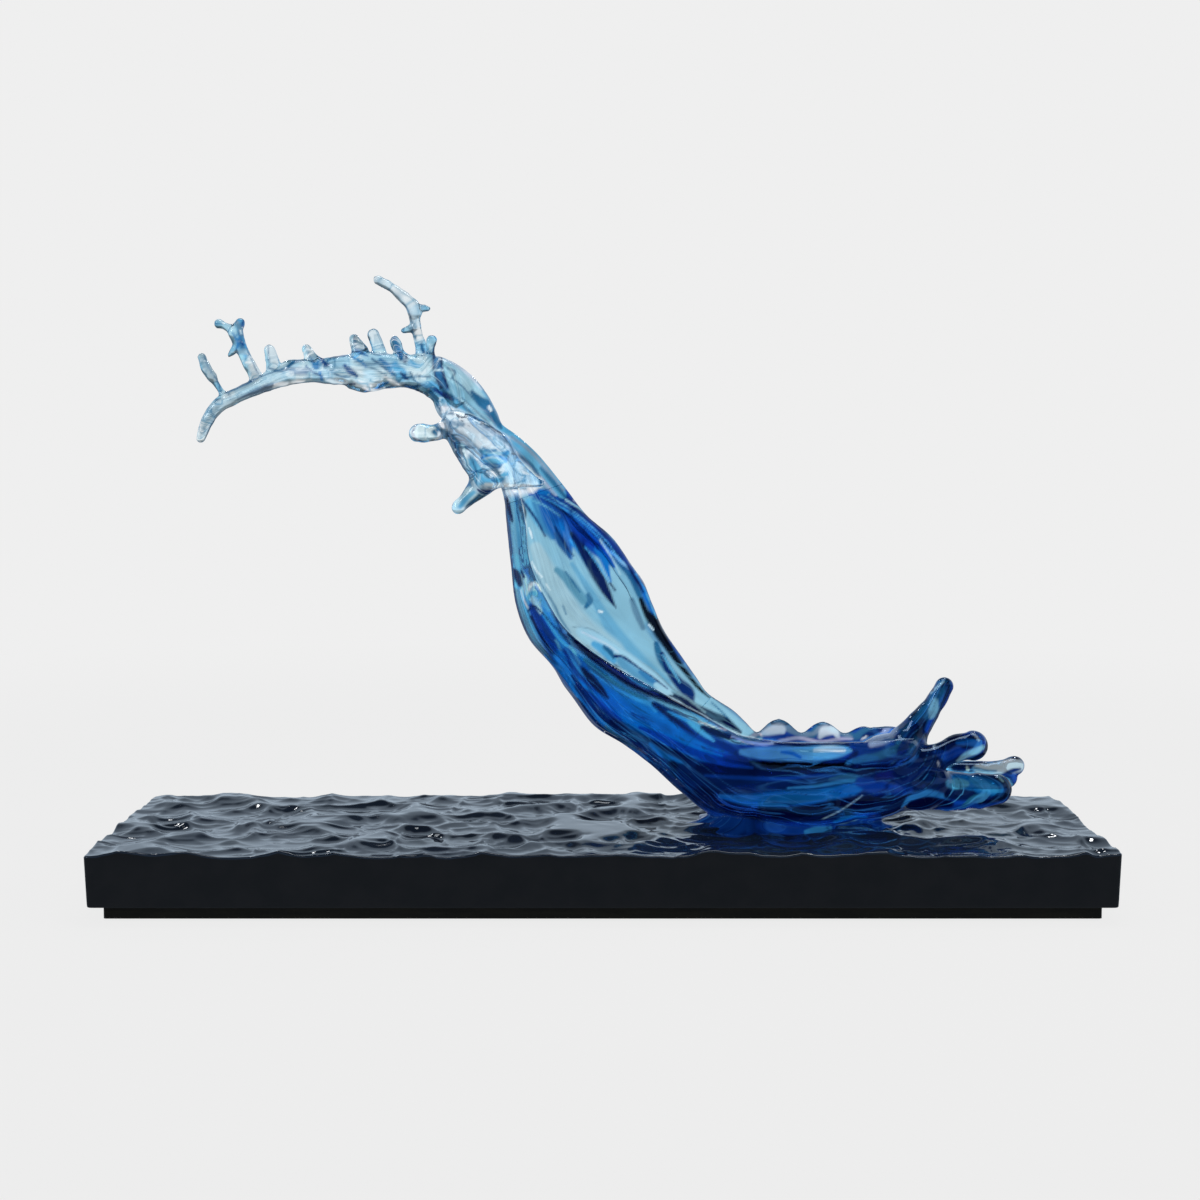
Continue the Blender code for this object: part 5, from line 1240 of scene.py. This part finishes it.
cover = {
    "length": 600 * mm, "width": 200 * mm, "top": 41 * mm, "foot": 9 * mm,
    "corner": 3 * mm, "edge": 1.1 * mm, "draft": 1.0 * mm, "wall": 6 * mm, "roof": 8 * mm,
    "step": 1.35 * mm,
    "cup": (31 * mm, 36 * mm), "cupJitter": 0.5, "cupBlend": 42,
    "cups": ((1, 3.9 * mm, 0.74, 7), (0.46, 0.8 * mm, 0.6, 19)),    # size, depth, what of it lies under the level, seed
    "roll": (0.7 * mm, 75 * mm), "grain": (0.3 * mm, 13 * mm),
    "wavelets": (1.1 * mm, 27 * mm, 0.13),      # thin ridges: height, size of the net, width
    "rings": (0.9 * mm, 15 * mm, 38 * mm),      # ripples round the wave's foot: height, length, reach
    "highest": 2.3 * mm, "deepest": 3.6 * mm,
    "edgeCalm": (0.3, 16 * mm),     # how much lower the ripples are at the edge, and how far in
}


def cupField(x, y, size, seed):
    # hollows with ridges between them: the soft least of (distance / radius)^2 over scattered middles
    stepX, stepY = np.array(cover["cup"]) * size
    random = np.random.default_rng(seed)
    columns = np.arange(-math.ceil(cover["length"] / 2 / stepX) - 1, math.ceil(cover["length"] / 2 / stepX) + 2)
    rows = np.arange(-math.ceil(cover["width"] / 2 / stepY) - 1, math.ceil(cover["width"] / 2 / stepY) + 2)
    gridX, gridY = np.meshgrid(columns, rows, indexing="ij")
    middles = np.stack([(gridX + 0.5 * (gridY % 2)) * stepX, gridY * stepY], axis=-1).reshape(-1, 2)
    middles = middles + random.uniform(-1, 1, middles.shape) * cover["cupJitter"] * np.array([stepX, stepY])
    radius = random.uniform(0.75, 1.3, len(middles)) * 0.62
    lift = random.uniform(-0.12, 0.2, len(middles))
    total = np.zeros(x.shape)
    for (cx, cy), r, up in zip(middles, radius, lift):
        reach = (((x - cx) / (stepX * r)) ** 2 + ((y - cy) / (stepY * r)) ** 2) + up
        total += np.exp(-cover["cupBlend"] * np.minimum(reach, 20))
    least = -np.log(np.maximum(total, 1e-60)) / cover["cupBlend"]
    return np.clip(least, -0.3, 1.4)


def coverHeight(x, y):
    # cups, a slow roll and a fine unevenness over the mean level, kept under the cover's highest ridge
    spot = np.stack([x, y, 0 * x], axis=-1)
    warp = 7 * mm * np.stack([softNoise(spot / (38 * mm), 31), softNoise(spot / (38 * mm), 32)], axis=-1)
    height = sum(depth * (cupField(x + warp[..., 0], y + warp[..., 1], size, seed) - under)
                 for size, depth, under, seed in cover["cups"])
    height += cover["roll"][0] * softNoise(spot / cover["roll"][1], 41)
    height += cover["grain"][0] * creased(spot / cover["grain"][1], 42)
    rise, size, width = cover["wavelets"]
    for seed in (51, 55):
        height += rise * veins(spot / size, seed, width)
    rise, length, reach = cover["rings"]
    middle, halfLength, halfWidth = crown["pool"]
    out = (np.hypot((x / mm - middle) / (1.15 * halfLength), (y / mm) / (1.15 * halfWidth)) - 1) * halfWidth * mm
    out = out + 5 * mm * softNoise(spot / (30 * mm), 43)
    height += rise * (1 - 2 * np.abs(np.sin(np.pi * out / length))) * np.exp(-np.maximum(out, 0) / reach)
    inset = np.minimum(cover["length"] / 2 - np.abs(x), cover["width"] / 2 - np.abs(y))
    height = height * (1 - cover["edgeCalm"][0] * (1 - smooth(0, cover["edgeCalm"][1], inset)))
    top, bottom = cover["highest"], cover["deepest"]
    return np.where(height > 0, top * np.tanh(height / top), bottom * np.tanh(height / bottom))


def edgeSteps(half, step):
    # positions across the cover: even, with a few close ones where the edge rounds over
    edge = cover["edge"]
    near = edge * (1 - np.cos(np.radians([0, 18, 36, 54, 72, 90])))
    inner = np.linspace(edge, 2 * half - edge, max(2, round((2 * half - 2 * edge) / step)))
    return np.concatenate([near[:-1], inner, 2 * half - near[:-1][::-1]]) - half


def makeCover():
    # a grid for the top whose rim rounds over, then rings down the leaning sides, under the wall and up to the roof
    halfX, halfY = cover["length"] / 2, cover["width"] / 2
    x, y = np.meshgrid(edgeSteps(halfX, cover["step"]), edgeSteps(halfY, cover["step"]), indexing="ij")
    inset = np.minimum(halfX - np.abs(x), halfY - np.abs(y))
    edge = cover["edge"]
    fall = edge - np.sqrt(np.maximum(edge**2 - np.clip(edge - inset, 0, edge) ** 2, 0))
    z = cover["top"] + coverHeight(x, y) - fall
    corner = cover["corner"]
    dx = np.maximum(np.abs(x) - (halfX - corner), 0)
    dy = np.maximum(np.abs(y) - (halfY - corner), 0)
    pull = np.where((dx > 0) & (dy > 0), np.maximum(dx, dy) / np.maximum(np.hypot(dx, dy), 1e-12), 1)
    x = np.where(dx > 0, np.sign(x) * (halfX - corner + dx * pull), x)
    y = np.where(dy > 0, np.sign(y) * (halfY - corner + dy * pull), y)
    columns, rows = x.shape
    number = np.arange(columns * rows).reshape(columns, rows)
    quads = np.stack([number[:-1, :-1], number[1:, :-1], number[1:, 1:], number[:-1, 1:]], axis=-1).reshape(-1, 4)
    points = np.stack([x, y, z], axis=-1).reshape(-1, 3)
    loop = np.concatenate([number[:-1, 0], number[-1, :-1], number[:0:-1, -1], number[0, :0:-1]])
    rim = points[loop]
    rings = []
    foot = cover["foot"]
    small = 0.7 * mm
    for share in (0.12, 0.4, 0.7, 0.95):     # down the side
        lean = 1 - share * cover["draft"] / np.array([halfX, halfY])
        rings.append(np.column_stack([rim[:, :2] * lean, rim[:, 2] + (foot + small - rim[:, 2]) * share]))
    for turn in (30, 60, 90):                # round the lower edge
        inward = cover["draft"] + small * (1 - math.cos(math.radians(turn)))
        lean = 1 - inward / np.array([halfX, halfY])
        level = foot + small * (1 - math.sin(math.radians(turn)))
        rings.append(np.column_stack([rim[:, :2] * lean, np.full(len(rim), level)]))
    inner = 1 - cover["wall"] / np.array([halfX, halfY])
    roof = cover["top"] - cover["roof"]
    for height in (foot, (foot + roof) / 2, roof):
        rings.append(np.column_stack([rim[:, :2] * inner, np.full(len(rim), height)]))
    sides = len(loop)
    under = len(points) + np.arange(len(rings) * sides).reshape(len(rings), sides)
    ladder = np.vstack([loop, under])
    after = np.roll(ladder, -1, axis=1)
    walls = np.stack([ladder[:-1], ladder[1:], after[1:], after[:-1]], axis=-1).reshape(-1, 4)
    points = np.vstack([points, *rings, [[0, 0, roof]]])
    last = len(points) - 1
    lid = np.stack([ladder[-1], np.full(sides, last), after[-1]], axis=-1)
    mesh = makeMesh("rippledCover", points, np.vstack([quads, walls]), lid)
    mesh.materials.append(None)
    mesh.materials.append(None)
    finish = np.ones(len(mesh.polygons), np.int32)
    finish[:len(quads)] = 0
    mesh.polygons.foreach_set("material_index", finish)
    return place("rippledCover", mesh)


rippledCover = makeCover()
print("cover made,", len(rippledCover.data.polygons), "faces")


# finishes

resins = {
    "clear": (0.29, 0.66, 0.81),   # what the resin's body passes most of: its absorption colour
    # name: absorption per metre, mirror tint, roughness from and to; streaks: the dark ones' share of dye, what
    # the light ones add to dye and, as painted light, to glow, and the painted shade on the skin's turned-away edge
    "deepBlueResin": (65, (0.35, 0.62, 1), (0.008, 0.03), (0.2, 0.3, 0.45), (0.02, 0.08, 0.14), (0.004, 0.02, 0.05),
                      (0.1, 0.22, 0.42)),
    "paleResin": (25, (0.8, 0.93, 1), (0.01, 0.035), (0.22, 0.42, 0.56), (0.3, 0.3, 0.3), (0.05, 0.07, 0.08),
                  (0.4, 0.55, 0.66)),
    "edge": (0.45, 0.9),           # where a skin turns away from the eye and takes the painted edge shade, 0 facing it and 1 edge on
    "grain": ((1, 1, 1), 70, 420), "bump": (0.03, 0.12 * mm),
}

finishes = {
    # name: two tones, roughness from and to, metallic, stretch, coarse and fine grain per metre, bump strength and depth
    "wetBlack": ((0.008, 0.014, 0.027), (0.013, 0.021, 0.038), (0.05, 0.1), 0, (1, 1, 1), 35, 300, 0.03, 0.2 * mm),
    "satinBlack": ((0.0068, 0.0084, 0.011), (0.0084, 0.0098, 0.0128), (0.38, 0.48), 0, (1, 1, 1), 60, 1800,
                   0.12, 0.06 * mm),
    "blackBoard": ((0.0072, 0.0072, 0.0056), (0.0112, 0.0112, 0.0088), (0.5, 0.66), 0, (1, 9, 9), 40, 500,
                   0.25, 0.1 * mm),
    "zincSteel": ((0.52, 0.53, 0.53), (0.66, 0.66, 0.63), (0.24, 0.42), 1, (1, 1, 1), 260, 2600, 0.15, 0.04 * mm),
    "turnedBrass": ((0.62, 0.44, 0.18), (0.76, 0.58, 0.28), (0.2, 0.36), 1, (1, 1, 14), 200, 900, 0.2, 0.05 * mm),
    "padRubber": ((0.016, 0.016, 0.017), (0.03, 0.03, 0.03), (0.7, 0.88), 0, (1, 1, 1), 220, 2200, 0.3, 0.08 * mm),
}

carried = {
    # CAD nodes that stay as they are, by the start of their names
    "core_board": "blackBoard", "foot_board": "blackBoard", "foot_screw": "zincSteel", "foot_pad": "padRubber",
    "mounting_bolt": "zincSteel", "bolt_washer": "zincSteel", "threaded_insert": "turnedBrass",
}


def makeGrainGroup():
    # two sizes of noise: the coarse one gives patches from 0 to 1, both together give a height
    group = bpy.data.node_groups.new("castGrain", "ShaderNodeTree")
    for name, kind in (("Vector", "NodeSocketVector"), ("Coarse", "NodeSocketFloat"), ("Fine", "NodeSocketFloat")):
        group.interface.new_socket(name, in_out="INPUT", socket_type=kind)
    for name in ("Patches", "Height"):
        group.interface.new_socket(name, in_out="OUTPUT", socket_type="NodeSocketFloat")
    given = group.nodes.new("NodeGroupInput")
    result = group.nodes.new("NodeGroupOutput")
    noises = []
    for name in ("Coarse", "Fine"):
        noise = group.nodes.new("ShaderNodeTexNoise")
        noise.inputs["Detail"].default_value = 3
        link(group, given.outputs["Vector"], noise.inputs["Vector"])
        link(group, given.outputs[name], noise.inputs["Scale"])
        noises.append(noise.outputs["Fac"])
    link(group, faded(group, noises[0], (0.36, 0.64), (0, 1)), result.inputs["Patches"])
    sum = group.nodes.new("ShaderNodeMath")
    sum.operation = "ADD"
    link(group, noises[0], sum.inputs[0])
    link(group, noises[1], sum.inputs[1])
    link(group, sum.outputs[0], result.inputs["Height"])
    return group


castGrain = makeGrainGroup()

streaks = {"scale": 1.5, "width": 0.05, "coarse": 0.35, "between": (0.47, 0.6), "apart": 31}


def makeStreakGroup():
    # thin lines where a noise along the flow passes its middle; a coarser noise lets them come and go
    group = bpy.data.node_groups.new("flowStreaks", "ShaderNodeTree")
    group.interface.new_socket("Vector", in_out="INPUT", socket_type="NodeSocketVector")
    group.interface.new_socket("Share", in_out="INPUT", socket_type="NodeSocketFloat")
    given = group.nodes.new("NodeGroupInput")
    result = group.nodes.new("NodeGroupOutput")

    def worked(operation, first, second):
        step = group.nodes.new("ShaderNodeMath")
        step.operation = operation
        link(group, first, step.inputs[0])
        if isinstance(second, float):
            step.inputs[1].default_value = second
        else:
            link(group, second, step.inputs[1])
        return step.outputs[0]

    for number, name in enumerate(("Dark", "Light")):
        group.interface.new_socket(name, in_out="OUTPUT", socket_type="NodeSocketFloat")
        moved = group.nodes.new("ShaderNodeMapping")
        moved.inputs["Location"].default_value = (number * streaks["apart"],) * 3
        link(group, given.outputs["Vector"], moved.inputs["Vector"])
        noises = []
        for scale in (streaks["scale"], streaks["coarse"]):
            noise = group.nodes.new("ShaderNodeTexNoise")
            noise.inputs["Detail"].default_value = 1
            noise.inputs["Scale"].default_value = scale
            link(group, moved.outputs[0], noise.inputs["Vector"])
            noises.append(noise.outputs["Fac"])
        away = worked("ABSOLUTE", worked("SUBTRACT", noises[0], 0.5), 0.0)
        line = faded(group, away, (0, streaks["width"]), (1, 0))
        shown = worked("MULTIPLY", line, faded(group, noises[1], streaks["between"], (0, 1)))
        link(group, worked("MULTIPLY", shown, given.outputs["Share"]), result.inputs[name])
    return group


flowStreaks = makeStreakGroup()


def grained(tree, shader, roughness, stretch, coarse, fine, strength, depth):
    # lays the shared grain on a piece's own coordinates and feeds roughness and bump from it
    spot = tree.nodes.new("ShaderNodeTexCoord")
    spread = tree.nodes.new("ShaderNodeMapping")
    spread.inputs["Scale"].default_value = stretch
    link(tree, spot.outputs["Object"], spread.inputs["Vector"])
    grain = tree.nodes.new("ShaderNodeGroup")
    grain.node_tree = castGrain
    grain.inputs["Coarse"].default_value = coarse
    grain.inputs["Fine"].default_value = fine
    link(tree, spread.outputs[0], grain.inputs["Vector"])
    link(tree, faded(tree, grain.outputs["Patches"], (0, 1), roughness), shader.inputs["Roughness"])
    bump = tree.nodes.new("ShaderNodeBump")
    bump.inputs["Strength"].default_value = strength
    bump.inputs["Distance"].default_value = depth
    link(tree, grain.outputs["Height"], bump.inputs["Height"])
    link(tree, bump.outputs[0], shader.inputs["Normal"])
    return grain.outputs["Patches"]


def resin(name):
    # clear glass whose dye, painted shade and highlights included, and painted glow are the skin's own
    # attributes, with an even soak through its body
    density, gloss, roughness, dark, lightDye, paintedStreakLight, edge = resins[name]
    made = bpy.data.materials.new(name)
    made.use_nodes = True
    tree = made.node_tree
    shader = tree.nodes["Principled BSDF"]
    shader.inputs["Transmission Weight"].default_value = 1
    shader.inputs["IOR"].default_value = 1.49
    shader.inputs["Specular Tint"].default_value = (*gloss, 1)
    # the glow attribute is painted light that the skin gives off
    shader.inputs["Emission Strength"].default_value = 1
    read = {}
    for attribute in ("flow", "dyeAndPaintedLight", "glow", "joint"):
        read[attribute] = tree.nodes.new("ShaderNodeAttribute")
        read[attribute].attribute_name = attribute
    lines = tree.nodes.new("ShaderNodeGroup")
    lines.node_tree = flowStreaks
    link(tree, read["flow"].outputs["Vector"], lines.inputs["Vector"])
    link(tree, read["dyeAndPaintedLight"].outputs["Alpha"], lines.inputs["Share"])
    # painted shade: dye and painted glow darken where the skin turns away from the eye
    facing = tree.nodes.new("ShaderNodeLayerWeight")
    turned = faded(tree, facing.outputs["Facing"], resins["edge"], (0, 1))
    # light streaks add painted light to the glow; the joint's faces take plain dye and no glow
    for attribute, socket, light, plain in (("dyeAndPaintedLight", "Base Color", lightDye, (1, 1, 1)),
                                            ("glow", "Emission Color", paintedStreakLight, (0, 0, 0))):
        tone = read[attribute].outputs["Color"]
        for blend, share, tint in (("MULTIPLY", lines.outputs["Dark"], dark), ("ADD", lines.outputs["Light"], light),
                                   ("MULTIPLY", turned, edge), ("MIX", read["joint"].outputs["Fac"], plain)):
            step = tree.nodes.new("ShaderNodeMix")
            step.data_type = "RGBA"
            step.blend_type = blend
            link(tree, share, step.inputs[0])
            link(tree, tone, step.inputs[6])
            step.inputs[7].default_value = (*tint, 1)
            tone = step.outputs[2]
        link(tree, tone, shader.inputs[socket])
    grained(tree, shader, roughness, *resins["grain"], *resins["bump"])
    soak = tree.nodes.new("ShaderNodeVolumeAbsorption")
    soak.inputs["Color"].default_value = (*resins["clear"], 1)
    soak.inputs["Density"].default_value = density
    link(tree, soak.outputs[0], tree.nodes["Material Output"].inputs["Volume"])
    return made


def finish(name):
    # an opaque finish: two near tones in patches
    dark, light, roughness, metallic, *grain = finishes[name]
    made = bpy.data.materials.new(name)
    made.use_nodes = True
    tree = made.node_tree
    shader = tree.nodes["Principled BSDF"]
    shader.inputs["Metallic"].default_value = metallic
    patches = grained(tree, shader, roughness, *grain)
    tone = tree.nodes.new("ShaderNodeMix")
    tone.data_type = "RGBA"
    link(tree, patches, tone.inputs[0])
    tone.inputs[6].default_value = (*dark, 1)
    tone.inputs[7].default_value = (*light, 1)
    link(tree, tone.outputs[2], shader.inputs["Base Color"])
    return made


made = {name: finish(name) for name in finishes}
for name, level, tint in (("wetBlack", 0.5, (0.84, 0.92, 1)), ("satinBlack", 0.2, (1, 1, 1)), ("blackBoard", 0.15, (1, 1, 1))):
    shader = made[name].node_tree.nodes["Principled BSDF"]
    shader.inputs["Specular IOR Level"].default_value = level
    shader.inputs["Specular Tint"].default_value = (*tint, 1)
deepBlueResin = resin("deepBlueResin")
waveTrough.data.materials.append(deepBlueResin)
waveFlume.data.materials.append(deepBlueResin)
waveCrest.data.materials.append(resin("paleResin"))
rippledCover.data.materials[0] = made["wetBlack"]
rippledCover.data.materials[1] = made["satinBlack"]
for node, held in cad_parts.items():
    for start, name in carried.items():
        if node.startswith(start):
            for slot in held.material_slots:
                slot.material = made[name]
print("finishes made")

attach(rippledCover, "root")
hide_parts("base_cover")
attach(waveTrough, "root")
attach(waveFlume, "root")
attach(waveCrest, "root")
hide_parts("wave_trough", "trough_pin", "crown_finger_1", "crown_finger_2", "crown_finger_3",
            "crown_finger_4")
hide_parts("wave_flume")
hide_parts("crest_sheet", "sheet_pin", "shoulder_fold", "crest_arm", "crest_tip", "crest_finger_1",
            "crest_finger_2", "crest_finger_3", "crest_finger_4", "crest_finger_5", "crest_finger_6",
            "crest_finger_7", "forked_splash", "tall_splash")
